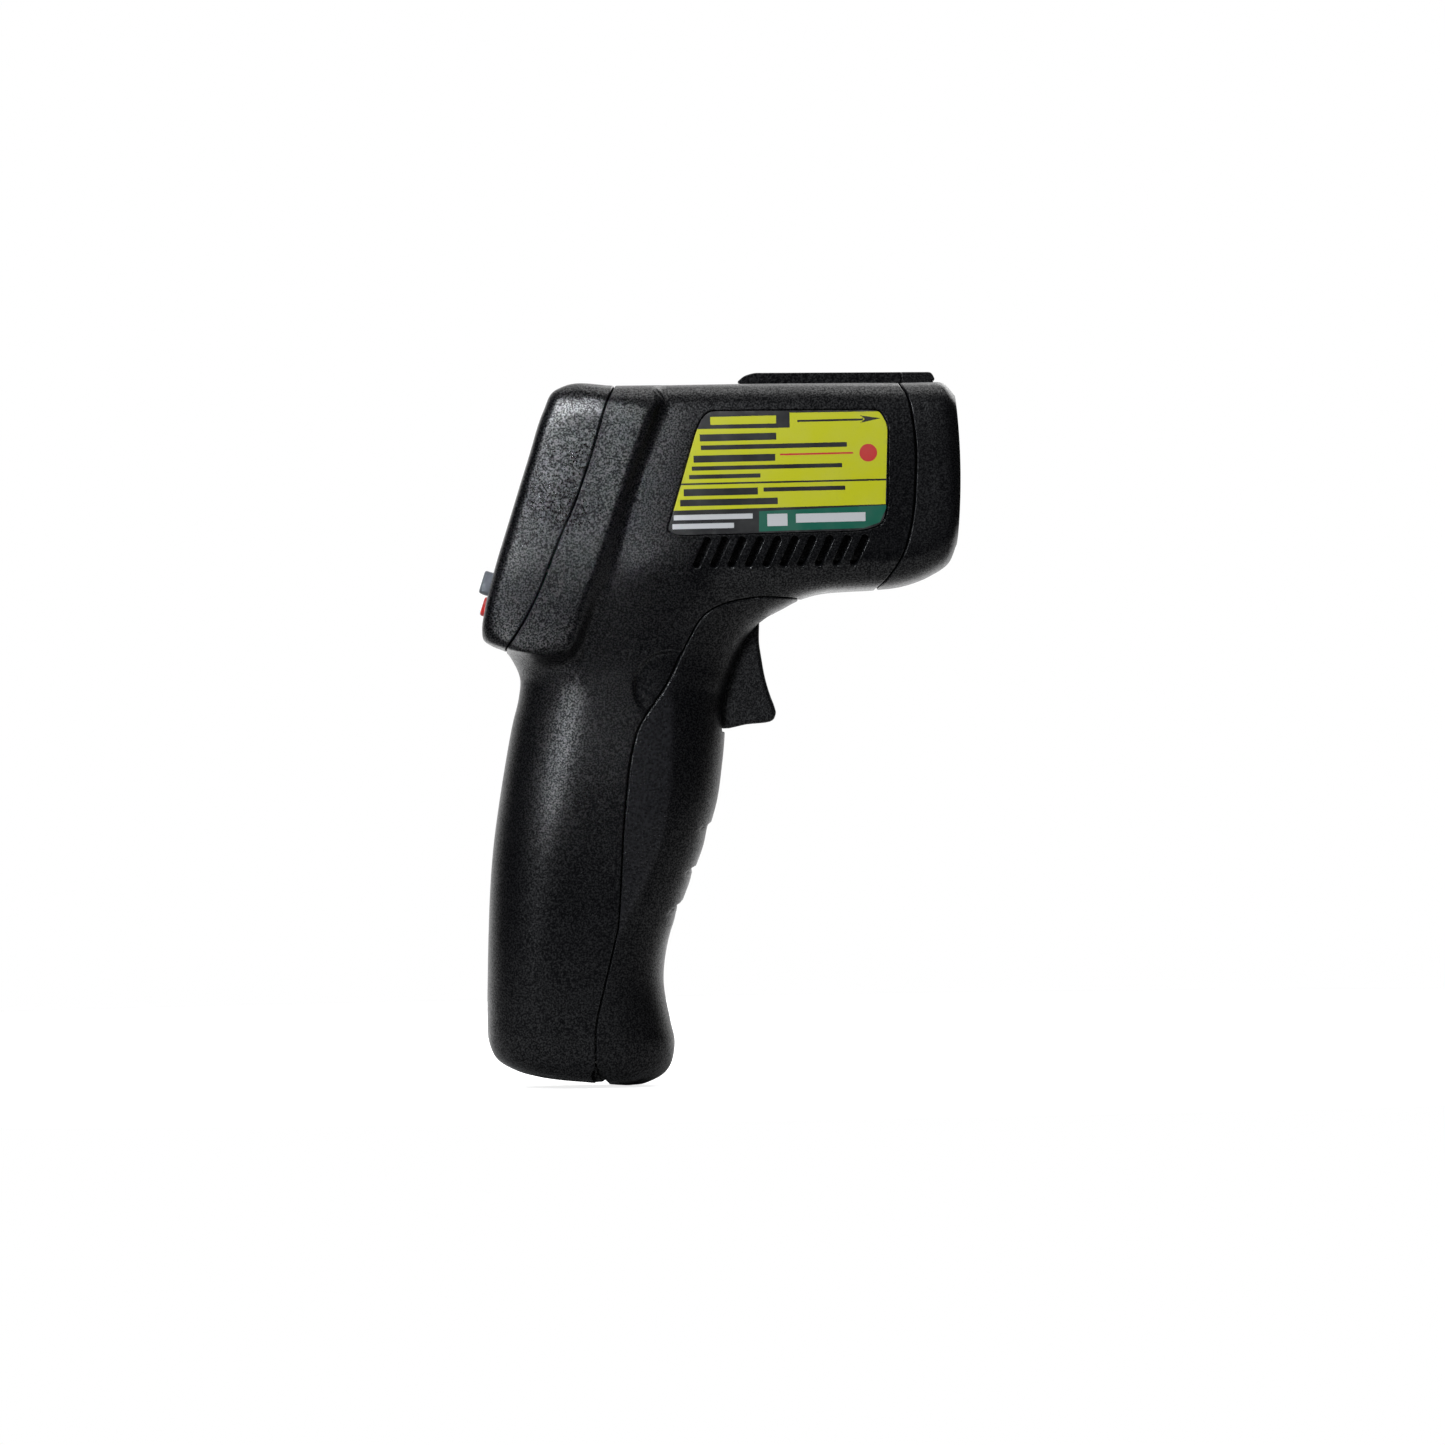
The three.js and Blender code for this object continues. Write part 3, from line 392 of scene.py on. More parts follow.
def whole_skin():
    half = half_rings(smooth_rows(SECTIONS))
    facing = np.full_like(half, np.nan)
    caps, faced = [], []
    for row, ring, way in ((SECTIONS[0], half[0], 1), (SECTIONS[-1], half[-1], -1)):
        count = math.ceil(ring[:, 1].max() / GRID)
        shares = np.arange(count) / count
        caps.append(ring[None] * np.stack([np.ones(count), shares, np.ones(count)], 1)[:, None, :])
        faced.append(np.repeat(end_facing(row, ring, way)[None], count, 0))
    half = np.concatenate([caps[0], half, caps[1][::-1]])
    facing = np.concatenate([faced[0], facing, faced[1]])
    grid = np.concatenate([half, half[:, :0:-1] * (1, -1, 1)], 1)[:, : 2 * RING_HALF]
    facing = np.concatenate([facing, facing[:, :0:-1]], 1)[:, : 2 * RING_HALF].reshape(-1, 3)
    rows, count = grid.shape[:2]
    index = np.arange(rows * count).reshape(rows, count)
    a, b = index[:-1], index[1:]
    an, bn = np.roll(a, -1, 1), np.roll(b, -1, 1)
    t = np.concatenate(quads(a, an, b, bn))
    p = grid.reshape(-1, 3)
    _, first, inverse = np.unique(np.round(p, 3), axis=0, return_index=True, return_inverse=True)
    p, t = p[first], inverse.reshape(-1)[t]
    t = t[(t[:, 0] != t[:, 1]) & (t[:, 1] != t[:, 2]) & (t[:, 2] != t[:, 0])]
    volume = np.einsum("ij,ij->i", p[t[:, 0]], np.cross(p[t[:, 1]], p[t[:, 2]])).sum()
    if volume < 0:
        t = t[:, ::-1]
    n = vertex_normals(p, t)
    given = ~np.isnan(facing[:, 0])
    n[inverse.reshape(-1)[given]] = facing[given]
    return Sheet(p, n, t)


# ---- distance fields

def curve_through(points, per=6):
    """A smooth open curve through points of the X-Z plane."""
    p = np.array(points, float)
    p = np.concatenate([[2 * p[0] - p[1]], p, [2 * p[-1] - p[-2]]])
    t = np.linspace(0, 1, per, endpoint=False)[:, None]
    made = []
    for i in range(1, len(p) - 2):
        a, b, c, d = p[i - 1:i + 3]
        made.append(0.5 * (2 * b + (c - a) * t + (2 * a - 5 * b + 4 * c - d) * t ** 2
                           + (3 * b - a - 3 * c + d) * t ** 3))
    return np.concatenate([*made, p[-2:-1]])


def distance_to(line, q):
    """Distance from each q to a polyline."""
    best = np.full(len(q), 1e9)
    for a, b in zip(line[:-1], line[1:]):
        d = b - a
        t = np.clip((q - a) @ d / max(d @ d, 1e-12), 0, 1)
        off = q - a - t[:, None] * d
        best = np.minimum(best, np.hypot(off[:, 0], off[:, 1]))
    return best


def outline_distance(points, q):
    """Signed distance to a closed outline, below zero inside."""
    line = np.array(points, float)
    dist = distance_to(np.concatenate([line, line[:1]]), q)
    inside = np.zeros(len(q), bool)
    for (ax, az), (bx, bz) in zip(line, np.roll(line, -1, 0)):
        if az != bz:
            crosses = (az > q[:, 1]) != (bz > q[:, 1])
            inside ^= crosses & (q[:, 0] < (bx - ax) * (q[:, 1] - az) / (bz - az) + ax)
    return np.where(inside, -dist, dist)


class Chart:
    """Signed distance to a closed outline of the X-Z plane, worked out once on a grid."""

    LOW, HIGH, STEP = np.array([-60.0, -6.0]), np.array([60.0, 160.0]), 0.4

    def __init__(self, outline):
        counts = np.ceil((self.HIGH - self.LOW) / self.STEP).astype(int) + 1
        x, z = (self.LOW[k] + self.STEP * np.arange(counts[k]) for k in (0, 1))
        places = np.stack(np.meshgrid(x, z, indexing="ij"), -1).reshape(-1, 2)
        self.values = outline_distance(outline, places).reshape(counts)

    def __call__(self, p):
        u, v = (p[:, [0, 2]] - self.LOW).T / self.STEP
        u = np.clip(u, 0, self.values.shape[0] - 1.001)
        v = np.clip(v, 0, self.values.shape[1] - 1.001)
        i, j = u.astype(int), v.astype(int)
        u, v = u - i, v - j
        h = self.values
        return ((h[i, j] * (1 - u) + h[i + 1, j] * u) * (1 - v)
                + (h[i, j + 1] * (1 - u) + h[i + 1, j + 1] * u) * v)


def zone(seam, far):
    """Chart of the part of the object on one side of a seam."""
    return Chart(np.concatenate([curve_through(seam, 5), np.array(far, float)]))


def inside(chart, shift=GAP / 2):
    return lambda p: -chart(p) - shift


def outside(chart, shift=GAP / 2):
    return lambda p: chart(p) - shift


def rounded_outline(points, radius, per=5):
    """A closed outline with its corners rounded."""
    p = np.array(points, float)
    made = []
    for before, here, after in zip(np.roll(p, 1, 0), p, np.roll(p, -1, 0)):
        to_before, to_after = before - here, after - here
        cut = min(radius, 0.45 * np.hypot(*to_before), 0.45 * np.hypot(*to_after))
        start = here + to_before / np.hypot(*to_before) * cut
        end = here + to_after / np.hypot(*to_after) * cut
        for t in np.linspace(0, 1, per):
            made.append((1 - t) ** 2 * start + 2 * t * (1 - t) * here + t ** 2 * end)
    return np.array(made)


def box_distance(u, v, half_u, half_v, corner=0.0):
    du, dv = np.abs(u) - half_u + corner, np.abs(v) - half_v + corner
    beyond = np.hypot(np.maximum(du, 0), np.maximum(dv, 0))
    return beyond + np.minimum(np.maximum(du, dv), 0) - corner


FACE_UP = np.array([math.sin(FACE_TILT), 0, math.cos(FACE_TILT)])
FACE_OUT = np.array([-math.cos(FACE_TILT), 0, math.sin(FACE_TILT)])
FACE_RIGHT = np.array([0, -1.0, 0])


def face_coordinates(p):
    q = p - np.array(FACE_MIDDLE, float)
    return q @ FACE_RIGHT, q @ FACE_UP, q @ FACE_OUT


def off_axis(p, x, z):
    """Distance from an axis that runs along Y."""
    return np.hypot(p[:, 0] - x, p[:, 2] - z)


def face_hole(at, size, corner):
    """Field of what lies outside a rounded opening in the display face."""
    def field(p):
        u, v, w = face_coordinates(p)
        d = box_distance(u - at[0], v - at[1], size[0] / 2 + GAP, size[1] / 2 + GAP, corner)
        return np.where(w > -8, d, FAR)
    return field


def round_hole(height, radius):
    """Field of what lies outside a round opening in the nose."""
    return lambda p: np.where(p[:, 0] > 40, np.hypot(p[:, 1], p[:, 2] - height) - radius, FAR)


def screw_hole(x, z):
    return lambda p: np.where(p[:, 1] > 0, off_axis(p, x, z) - SCREW_HEAD["bore"], FAR)


def vent_field(p):
    half, lean = VENTS["half"], VENTS["lean"]
    low, high = VENTS["bottom"] + half, VENTS["top"] - half
    share = np.clip((p[:, 2] - low) / (high - low), 0, 1)
    row = np.round((p[:, 0] - VENTS["x"] + lean * (1 - share)) / VENTS["pitch"])
    x = p[:, 0] - VENTS["x"] - VENTS["pitch"] * np.clip(row, 0, VENTS["count"] - 1)
    line = np.array([[-lean, low], [0, high]])
    return distance_to(line, np.column_stack([x, p[:, 2]])) - half


def liner_field(p):
    """The dust liner behind the vents."""
    d = box_distance(p[:, 0] - LINER["x"], p[:, 2] - LINER["z"], *LINER["half"], LINER["corner"])
    return np.where(p[:, 0] > -20, -d, -FAR)


def door_lip(p):
    """The lip that closes the view through the door's seam."""
    return LIP["half"] - np.abs(DOOR_ZONE(p))


def nose_lip(p):
    return LIP["half"] - np.abs(NOSE_ZONE(p))


def lip_end(p):
    """The lip stops short of the hinge and of the trigger's slot."""
    return np.minimum(off_axis(p, *DOOR_PIVOT) - LIP["off_hinge"], LIP["top"] - p[:, 2])


def half_field(side):
    return lambda p: side * p[:, 1] - GAP / 2


def sweep_field(p):
    return off_axis(p, *DOOR_PIVOT) - KNUCKLE["sweep"]


def slot_field(p):
    low, high = TRIGGER_SLOT["z"]
    half = TRIGGER_SLOT["half"]
    d = box_distance(p[:, 1], p[:, 2] - (low + high) / 2, half, (high - low) / 2, 1.2)
    return np.where(p[:, 0] > TRIGGER_SLOT["x"], d, FAR)


def gradient_on(sheet, field, wanted, step=0.04):
    """The field's gradient along the surface, at the wanted points."""
    p, n = sheet.p[wanted], sheet.n[wanted]
    g = np.stack([(field(p + step * a) - field(p - step * a)) / (2 * step) for a in np.eye(3)], 1)
    made = np.zeros_like(sheet.p)
    made[wanted] = g - (g * n).sum(1, keepdims=True) * n
    return made


# ---- relief on the skin

def label_relief(p):
    return np.where(p[:, 1] < 0, 0.5 * smooth_fall(-0.1, 0.1, LABEL_CHART(p)), 0)


def thumb_relief(p):
    away = off_axis(p, THUMB["x"], THUMB["z"])
    return THUMB["depth"] * smooth_fall(THUMB["radius"] - 1.1, THUMB["radius"] + 0.1, away)


def step_relief(p):
    """Ledges for the fingers: proud above each line, let in below it."""
    total = np.interp(p[:, 0], *np.array(DOOR_HEEL).T) * smooth_fall(2.5, 5, p[:, 2])
    for front, back in FINGER_STEPS:
        a, b = np.array(back, float), np.array(front, float)
        along = (b - a) / np.hypot(*(b - a))
        q = p[:, [0, 2]] - a
        run = q @ along
        rise = q @ np.array([-along[1], along[0]])
        below = smooth_fall(0.5, 6.5, -rise) * (rise <= 0)
        lip = smooth_fall(0, 0.5, rise) * (rise > 0) * 0.45
        crease = 0.55 * np.exp(-(rise / 0.22) ** 2)
        total += (0.5 * below + 0.5 * lip + crease) * smoothstep(-0.5, 3.5, run)
    return total


LABEL_MIDDLE = np.array([13, 131])
LABEL_SHAPE = rounded_outline(LABEL_OUTLINE, 2.2)
LABEL_CHART = Chart(LABEL_SHAPE)


# ---- mouldings

class Pile:
    """Triangles with normals and marks, gathered for one Blender mesh."""

    def __init__(self):
        self.parts = []

    def add(self, p, n, t, marks=None):
        self.parts.append((p, n, t, np.zeros((len(p), 3)) if marks is None else marks))

    def join(self, other):
        self.parts += other.parts

    def put(self, made, axes, origin=(0, 0, 0)):
        """Adds a (points, normals, triangles) shape, its u, v, w turned to the given axes."""
        p, n, t = made
        m = np.array(axes, float)
        if np.linalg.det(m) < 0:
            t = t[:, ::-1]
        self.add(p @ m + np.array(origin, float), n @ m, t)

    def whole(self):
        """Points, normals, triangles and marks of all the parts in one."""
        p, n, t, marks = zip(*self.parts)
        starts = np.cumsum([0] + [len(each) for each in p[:-1]])
        t = [each + start for each, start in zip(t, starts)]
        return [np.concatenate(each) for each in (p, n, t, marks)]

    def object(self, name, material, colours=None):
        p, n, t, marks = self.whole()
        p = p * MM
        mesh = bpy.data.meshes.new(name)
        mesh.vertices.add(len(p))
        mesh.vertices.foreach_set("co", p.astype(np.float32).ravel())
        mesh.loops.add(3 * len(t))
        mesh.loops.foreach_set("vertex_index", t.astype(np.int32).ravel())
        mesh.polygons.add(len(t))
        mesh.polygons.foreach_set("loop_start", np.arange(0, 3 * len(t), 3, dtype=np.int32))
        mesh.update(calc_edges=True)
        mesh.shade_smooth()
        length = np.linalg.norm(n, axis=1, keepdims=True)
        mesh.normals_split_custom_set_from_vertices((n / np.where(length > 0, length, 1)).tolist())
        marked = mesh.color_attributes.new("marks", "FLOAT_COLOR", "POINT")
        rgba = np.concatenate([marks, np.ones((len(p), 1))], 1)
        marked.data.foreach_set("color", rgba.astype(np.float32).ravel())
        if colours is not None:
            painted = mesh.color_attributes.new("print", "FLOAT_COLOR", "CORNER")
            painted.data.foreach_set("color", np.repeat(colours, 3, 0).astype(np.float32).ravel())
        made = bpy.data.objects.new(name, mesh)
        bpy.context.scene.collection.objects.link(made)
        mesh.materials.append(material)
        return made


ROUND_LEVELS = (0.1, 0.35, 0.65, 1.0)


def moulding(fields, relief=None, relief_near=None, wall=WALL, inset=0.0, rounding=EDGE_ROUND,
             mark=None, start=None):
    """A shell cut from the skin where every field is above zero, as a Pile."""
    sheet = start or SKIN
    for field in fields:
        sheet = sheet.kept(field(sheet.p)[sheet.t].max(1) > -2)

    def edge(p):
        return np.min([f(p) for f in fields], 0)

    def near(p):
        d = np.abs(edge(p))
        return d if relief_near is None else np.minimum(d, np.abs(relief_near(p)))
    sheet = sheet.refined(near)
    for field in fields:
        sheet = sheet.trimmed(field)

    def surface_distance(s):
        d = edge(s.p)
        close = d < 1.5
        g = gradient_on(s, edge, close)
        size = np.where(close, np.maximum(np.linalg.norm(g, axis=1), 0.35), 1)
        return d / size, g / size[:, None]
    for level in ROUND_LEVELS:
        sheet = sheet.cut(surface_distance(sheet)[0] - level * rounding)
    if relief_near is not None:
        for level in (-0.1, -0.04, 0.04, 0.1):
            sheet = sheet.cut(relief_near(sheet.p) - level)
    d, g = surface_distance(sheet)
    lean = np.clip(1 - d / rounding, 0, 1)[:, None]
    drop = rounding * (1 - np.sqrt(np.clip(1 - lean ** 2, 0, 1)))
    n = sheet.n * np.sqrt(1 - lean ** 2) - g * lean
    if relief is not None:
        drop = drop + relief(sheet.p)[:, None]
        n = n + gradient_on(sheet, relief, np.ones(len(n), bool))
    outer = sheet.p - sheet.n * (inset + drop)
    inner = sheet.p - sheet.n * (inset + wall)
    marks = np.zeros((len(sheet.p), 3))
    marks[:, 0] = np.clip(1 - d / 0.9, 0, 1)
    if mark is not None:
        marks[:, 1] = mark(sheet.p)
    pile = Pile()
    pile.add(outer, n, sheet.t, marks)
    pile.add(inner, -sheet.n, sheet.t[:, ::-1])
    unique, of_face = sheet.edges()
    uses = np.bincount(of_face.ravel(), minlength=len(unique))
    rim = [sheet.t[uses[of_face[:, k]] == 1][:, pair] for k, pair in enumerate(EDGES)]
    used, inverse = np.unique(np.concatenate(rim), return_inverse=True)
    a, b = inverse.reshape(-1, 2).T
    count = len(used)
    side = np.concatenate([outer[used], inner[used]])
    facing = -np.tile(g[used], (2, 1))
    faces = np.concatenate([
        np.stack([b, a, a + count], 1), np.stack([b, a + count, b + count], 1),
    ])
    pile.add(side, facing, faces, np.tile(marks[used], (2, 1)))
    return pile


def prism(outline, low, high, rounding, steps=4):
    """A closed outline in a plane, thickened along the third axis, with rounded rims.
    Returns points as u, v, w, with w along the thickness."""
    line = np.array(outline, float)
    area = 0.5 * np.sum(line[:, 0] * np.roll(line[:, 1], -1) - np.roll(line[:, 0], -1) * line[:, 1])
    if area < 0:
        line = line[::-1]
    before, after = line - np.roll(line, 1, 0), np.roll(line, -1, 0) - line
    before /= np.linalg.norm(before, axis=1, keepdims=True)
    after /= np.linalg.norm(after, axis=1, keepdims=True)
    out = np.stack([(before + after)[:, 1], -(before + after)[:, 0]], 1)
    out /= np.linalg.norm(out, axis=1, keepdims=True)
    turns = np.linspace(0, math.pi / 2, steps + 1)
    levels = [(math.sin(a), low + rounding * (1 - math.cos(a)), -math.cos(a)) for a in turns]
    levels += [(math.cos(a), high - rounding * (1 - math.sin(a)), math.sin(a)) for a in turns]
    p, n = [], []
    for reach, w, lean in levels:
        moved = line + out * rounding * (reach - 1)
        p.append(np.column_stack([moved, np.full(len(line), w)]))
        n.append(np.column_stack([out * reach, np.full(len(line), lean)]))
    count, rows = len(line), len(levels)
    faces = []
    for r in range(rows - 1):
        a = r * count + np.arange(count)
        b = r * count + (np.arange(count) + 1) % count
        faces += quads(a, b, a + count, b + count)
    p, n = np.concatenate(p), np.concatenate(n)
    ends = fill(p[:count, :2])
    faces.append(ends[:, ::-1])
    faces.append(ends + (rows - 1) * count)
    return p, n, np.concatenate(faces)


def fill(line):
    """Triangles that fill a closed outline going anticlockwise, by clipping its ears."""
    left = list(range(len(line)))
    faces = []
    while len(left) > 3:
        best, choice = -1e9, 0
        for i in range(len(left)):
            a, b, c = left[i - 1], left[i], left[(i + 1) % len(left)]
            pa, pb, pc = line[a], line[b], line[c]
            if turn(pa, pb, pc) <= 1e-12:
                continue
            others = line[[k for k in left if k not in (a, b, c)]]
            if len(others):
                ways = [turn(*edge, others) >= 0 for edge in ((pa, pb), (pb, pc), (pc, pa))]
                if np.all(ways, 0).any():
                    continue
            score = -np.hypot(*(pc - pa))
            if score > best:
                best, choice = score, i
        a, b, c = left[choice - 1], left[choice], left[(choice + 1) % len(left)]
        faces.append((a, b, c))
        left.pop(choice)
    faces.append(tuple(left))
    return np.array(faces)


def turn(a, b, q):
    return (b[0] - a[0]) * (q[..., 1] - a[1]) - (b[1] - a[1]) * (q[..., 0] - a[0])


def lathe(profile, sides=48):
    """A closed profile of (radius, height) turned round the third axis, sharp at its corners."""
    p, n, t = [], [], []
    turns = 2 * math.pi * np.arange(sides) / sides
    base = 0
    for (r0, h0), (r1, h1) in zip(profile[:-1], profile[1:]):
        slope = np.array([h1 - h0, -(r1 - r0)], float)
        slope /= np.hypot(*slope)
        for r, h in ((r0, h0), (r1, h1)):
            p.append(np.column_stack([r * np.cos(turns), r * np.sin(turns), np.full(sides, h)]))
            n.append(np.column_stack([slope[0] * np.cos(turns), slope[0] * np.sin(turns),
                                      np.full(sides, slope[1])]))
        a = base + np.arange(sides)
        b = base + (np.arange(sides) + 1) % sides
        t += quads(a, b, a + sides, b + sides)
        base += 2 * sides
    return np.concatenate(p), np.concatenate(n), np.concatenate(t)


ALONG_Y = [(1, 0, 0), (0, 0, 1), (0, 1, 0)]
ALONG_X = [(0, 1, 0), (0, 0, 1), (1, 0, 0)]
ON_FACE = [FACE_RIGHT, FACE_UP, FACE_OUT]


def rounded_box(at, size, corner, per=6):
    (x, y), (w, h) = at, (size[0] / 2, size[1] / 2)
    made = []
    for k, (sx, sy) in enumerate(((1, -1), (1, 1), (-1, 1), (-1, -1))):
        for a in np.linspace(-math.pi / 2, 0, per) + k * math.pi / 2:
            made.append((x + sx * (w - corner) + corner * math.cos(a),
                         y + sy * (h - corner) + corner * math.sin(a)))
    return made


# ---- materials

class Nodes:
    """A short way to write a node tree."""

    def __init__(self, name, tree=None):
        if tree is None:
            self.material = bpy.data.materials.new(name)
            self.material.use_nodes = True
            tree = self.material.node_tree
            tree.nodes.clear()
        self.tree = tree

    def new(self, kind, inputs=None, **settings):
        node = self.tree.nodes.new(kind)
        for key, value in settings.items():
            setattr(node, key, value)
        for key, value in (inputs or {}).items():
            if isinstance(value, bpy.types.NodeSocket):
                self.tree.links.new(value, node.inputs[key])
            else:
                socket = node.inputs[key]
                opaque = socket.type == "RGBA" and len(value) == 3
                socket.default_value = (*value, 1) if opaque else value
        return node

    def place(self):
        return self.new("ShaderNodeTexCoord").outputs["Object"]

    def noise(self, scale, detail=2, rough=0.5, where=None):
        inputs = {"Vector": where or self.place(), "Scale": scale, "Detail": detail,
                  "Roughness": rough}
        return self.new("ShaderNodeTexNoise", inputs).outputs["Fac"]

    def cells(self, scale, output, where):
        inputs = {"Vector": where, "Scale": scale}
        return self.new("ShaderNodeTexVoronoi", inputs).outputs[output]

    def math(self, operation, a, b, clamp=False):
        node = self.new("ShaderNodeMath", {0: a, 1: b}, operation=operation, use_clamp=clamp)
        return node.outputs[0]

    def times(self, a, b, clamp=False):
        return self.math("MULTIPLY", a, b, clamp)

    def span(self, value, low, high, to_low=0.0, to_high=1.0):
        inputs = {"Value": value, "From Min": low, "From Max": high, "To Min": to_low,
                  "To Max": to_high}
        return self.new("ShaderNodeMapRange", inputs).outputs["Result"]

    def mix(self, share, a, b):
        inputs = {0: share, 6: a, 7: b}
        return self.new("ShaderNodeMix", inputs, data_type="RGBA").outputs[2]

    def mark(self, channel):
        attribute = self.new("ShaderNodeAttribute", attribute_name="marks")
        split = self.new("ShaderNodeSeparateColor", {"Color": attribute.outputs["Color"]})
        return split.outputs[channel]

    def bump(self, height, strength, distance):
        inputs = {"Height": height, "Strength": strength, "Distance": distance}
        return self.new("ShaderNodeBump", inputs).outputs["Normal"]

    def shader(self, **inputs):
        inputs = {key.replace("_", " "): value for key, value in inputs.items()}
        node = self.new("ShaderNodeBsdfPrincipled", inputs)
        self.new("ShaderNodeOutputMaterial", {"Surface": node.outputs[0]})
        return self.material


def grained_plastic(name, dark, light, grain, depth, rough, spread, leaf=False, shine=0.34):
    """Moulded plastic with a spark-eroded grain, faint handling marks and rubbed edges."""
    m = Nodes(name)
    place = m.place()
    fine = m.noise(1 / grain, 1, 0.5, place)
    pits = m.cells(0.9 / grain, "Distance", place)
    colour = m.cells(1.1 / grain, "Color", place)
    facets = m.new("ShaderNodeSeparateColor", {"Color": colour}).outputs[0]
    handled = m.noise(38, 4, 0.6, place)
    worn = m.times(m.mark("Red"), m.span(m.noise(420, 3, 0.6, place), 0.35, 0.7))
    tone = m.mix(m.span(fine, 0.35, 0.72), dark, light)
    tone = m.mix(m.times(worn, 0.15, True), tone, (0.03, 0.031, 0.033))
    roughness = m.span(facets, 0, 1, rough - spread, rough + spread)
    roughness = m.math("ADD", roughness, m.span(handled, 0.3, 0.7, -0.05, 0.05))
    roughness = m.math("SUBTRACT", roughness, m.times(worn, 0.05), True)
    height = m.math("SUBTRACT", m.times(fine, 3.0), pits)
    if leaf:
        mask = m.mark("Green")
        coarse = m.math("ADD", m.noise(1 / 0.00045, 2, 0.6, place),
                        m.cells(1 / 0.0006, "Distance", place))
        height = m.math("ADD", m.times(height, 0.25), m.times(m.times(coarse, mask), 6.0))
        leafy = m.mix(m.span(coarse, 0.5, 1.3), (0.004, 0.004, 0.0045), (0.02, 0.02, 0.022))
        tone = m.mix(mask, tone, leafy)
        roughness = m.math("SUBTRACT", roughness, m.times(mask, 0.22), True)
    normal = m.bump(height, 1.0, depth)
    glint = m.span(fine, 0.4, 0.68, shine * 0.3, shine * 2.3)
    return m.shader(Base_Color=tone, Roughness=roughness, Normal=normal, IOR=1.47,
                    Specular_IOR_Level=glint)


def darker(colour, share):
    return tuple(c * share for c in colour)


def plain_plastic(name, colour, rough, coat=0.0):
    m = Nodes(name)
    place = m.place()
    fine = m.noise(1 / 0.0004, 3, 0.6, place)
    broad = m.noise(60, 3, 0.5, place)
    shade = darker(colour, 0.72)
    tone = m.mix(m.span(broad, 0.3, 0.7, 0, 0.6), colour, shade)
    tone = m.mix(m.span(fine, 0.55, 0.8, 0, 0.35), tone, shade)
    roughness = m.span(fine, 0.25, 0.75, rough - 0.07, rough + 0.08)
    return m.shader(Base_Color=tone, Roughness=roughness, Normal=m.bump(fine, 0.6, 0.00002),
                    Coat_Weight=coat, Coat_Roughness=0.12)


def metal(name, colour, rough):
    """Metal brushed along the object's Z axis."""
    m = Nodes(name)
    brush = {"Vector": m.place(), "Scale": (900, 900, 40)}
    stretched = m.new("ShaderNodeMapping", brush).outputs[0]
    lines = m.noise(6, 4, 0.6, stretched)
    stain = m.noise(180, 3, 0.6)
    dull = darker(colour, 0.6)
    tone = m.mix(m.span(stain, 0.45, 0.75, 0, 0.5), colour, dull)
    roughness = m.span(lines, 0.2, 0.8, rough - 0.08, rough + 0.12)
    return m.shader(Base_Color=tone, Roughness=roughness, Metallic=1.0,
                    Normal=m.bump(lines, 0.3, 0.00002))


def clear_plastic(name, colour, rough):
    m = Nodes(name)
    smear = m.noise(90, 4, 0.6)
    scratch = m.noise(4000, 2, 0.5)
    roughness = m.math("ADD", m.span(smear, 0.35, 0.7, rough, rough + 0.08),
                       m.span(scratch, 0.72, 0.8, 0, 0.2), True)
    tint = m.mix(m.span(smear, 0.3, 0.7, 0, 0.3), colour, darker(colour, 0.9))
    return m.shader(Base_Color=tint, Roughness=roughness, Transmission_Weight=0.92, IOR=1.49)


def circuit_board(name):
    m = Nodes(name)
    place = m.place()
    tracks = m.new("ShaderNodeTexBrick", {
        "Vector": place, "Color1": (0.006, 0.11, 0.045), "Color2": (0.008, 0.14, 0.06),
        "Mortar": (0.004, 0.07, 0.03), "Scale": 260, "Mortar Size": 0.06,
    })
    pads = m.cells(700, "Distance", place)
    tone = m.mix(m.span(pads, 0.1, 0.14, 1, 0), tracks.outputs["Color"], (0.6, 0.6, 0.58))
    normal = m.bump(tracks.outputs["Fac"], 0.4, 0.00004)
    roughness = m.span(m.noise(900, 3), 0.3, 0.7, 0.28, 0.42)
    return m.shader(Base_Color=tone, Roughness=roughness, Normal=normal)


def printed_film(name):
    m = Nodes(name)
    place = m.place()
    ink = m.new("ShaderNodeAttribute", attribute_name="print").outputs["Color"]
    fleck = m.noise(2600, 3, 0.6, place)
    weave = m.noise(160, 3, 0.5, place)
    tone = m.mix(m.span(fleck, 0.6, 0.8, 0, 0.16), ink, (0.02, 0.02, 0.02))
    tone = m.mix(m.span(weave, 0.4, 0.7, 0, 0.05), tone, (0.5, 0.5, 0.48))
    worn = m.times(m.mark("Red"), m.span(m.noise(500, 3, 0.6, place), 0.5, 0.7))
    tone = m.mix(m.times(worn, 0.4, True), tone, (0.12, 0.12, 0.12))
    return m.shader(Base_Color=tone, Roughness=m.span(fleck, 0.3, 0.7, 0.34, 0.46),
                    Normal=m.bump(fleck, 0.5, 0.000012))


SPARK = grained_plastic("spark_black", (0.0022, 0.0023, 0.0029), (0.0036, 0.0038, 0.0047),
                        0.00036, 0.000007, 0.33, 0.05)
SATIN = grained_plastic("satin_black", (0.0024, 0.0025, 0.0031), (0.0042, 0.0044, 0.0054),
                        0.0003, 0.000008, 0.38, 0.05)
SOFT = grained_plastic("soft_black", (0.0018, 0.0019, 0.0024), (0.003, 0.0032, 0.004),
                       0.00035, 0.00001, 0.4, 0.05, leaf=True, shine=0.3)
TRIGGER_BLACK = grained_plastic("trigger_black", (0.0026, 0.0027, 0.0032), (0.0052, 0.0054, 0.0063),
                                0.00033, 0.000012, 0.45, 0.1)
DARK = plain_plastic("inner_black", (0.012, 0.012, 0.013), 0.55)
RING_BLACK = plain_plastic("ring_black", (0.008, 0.008, 0.009), 0.35)
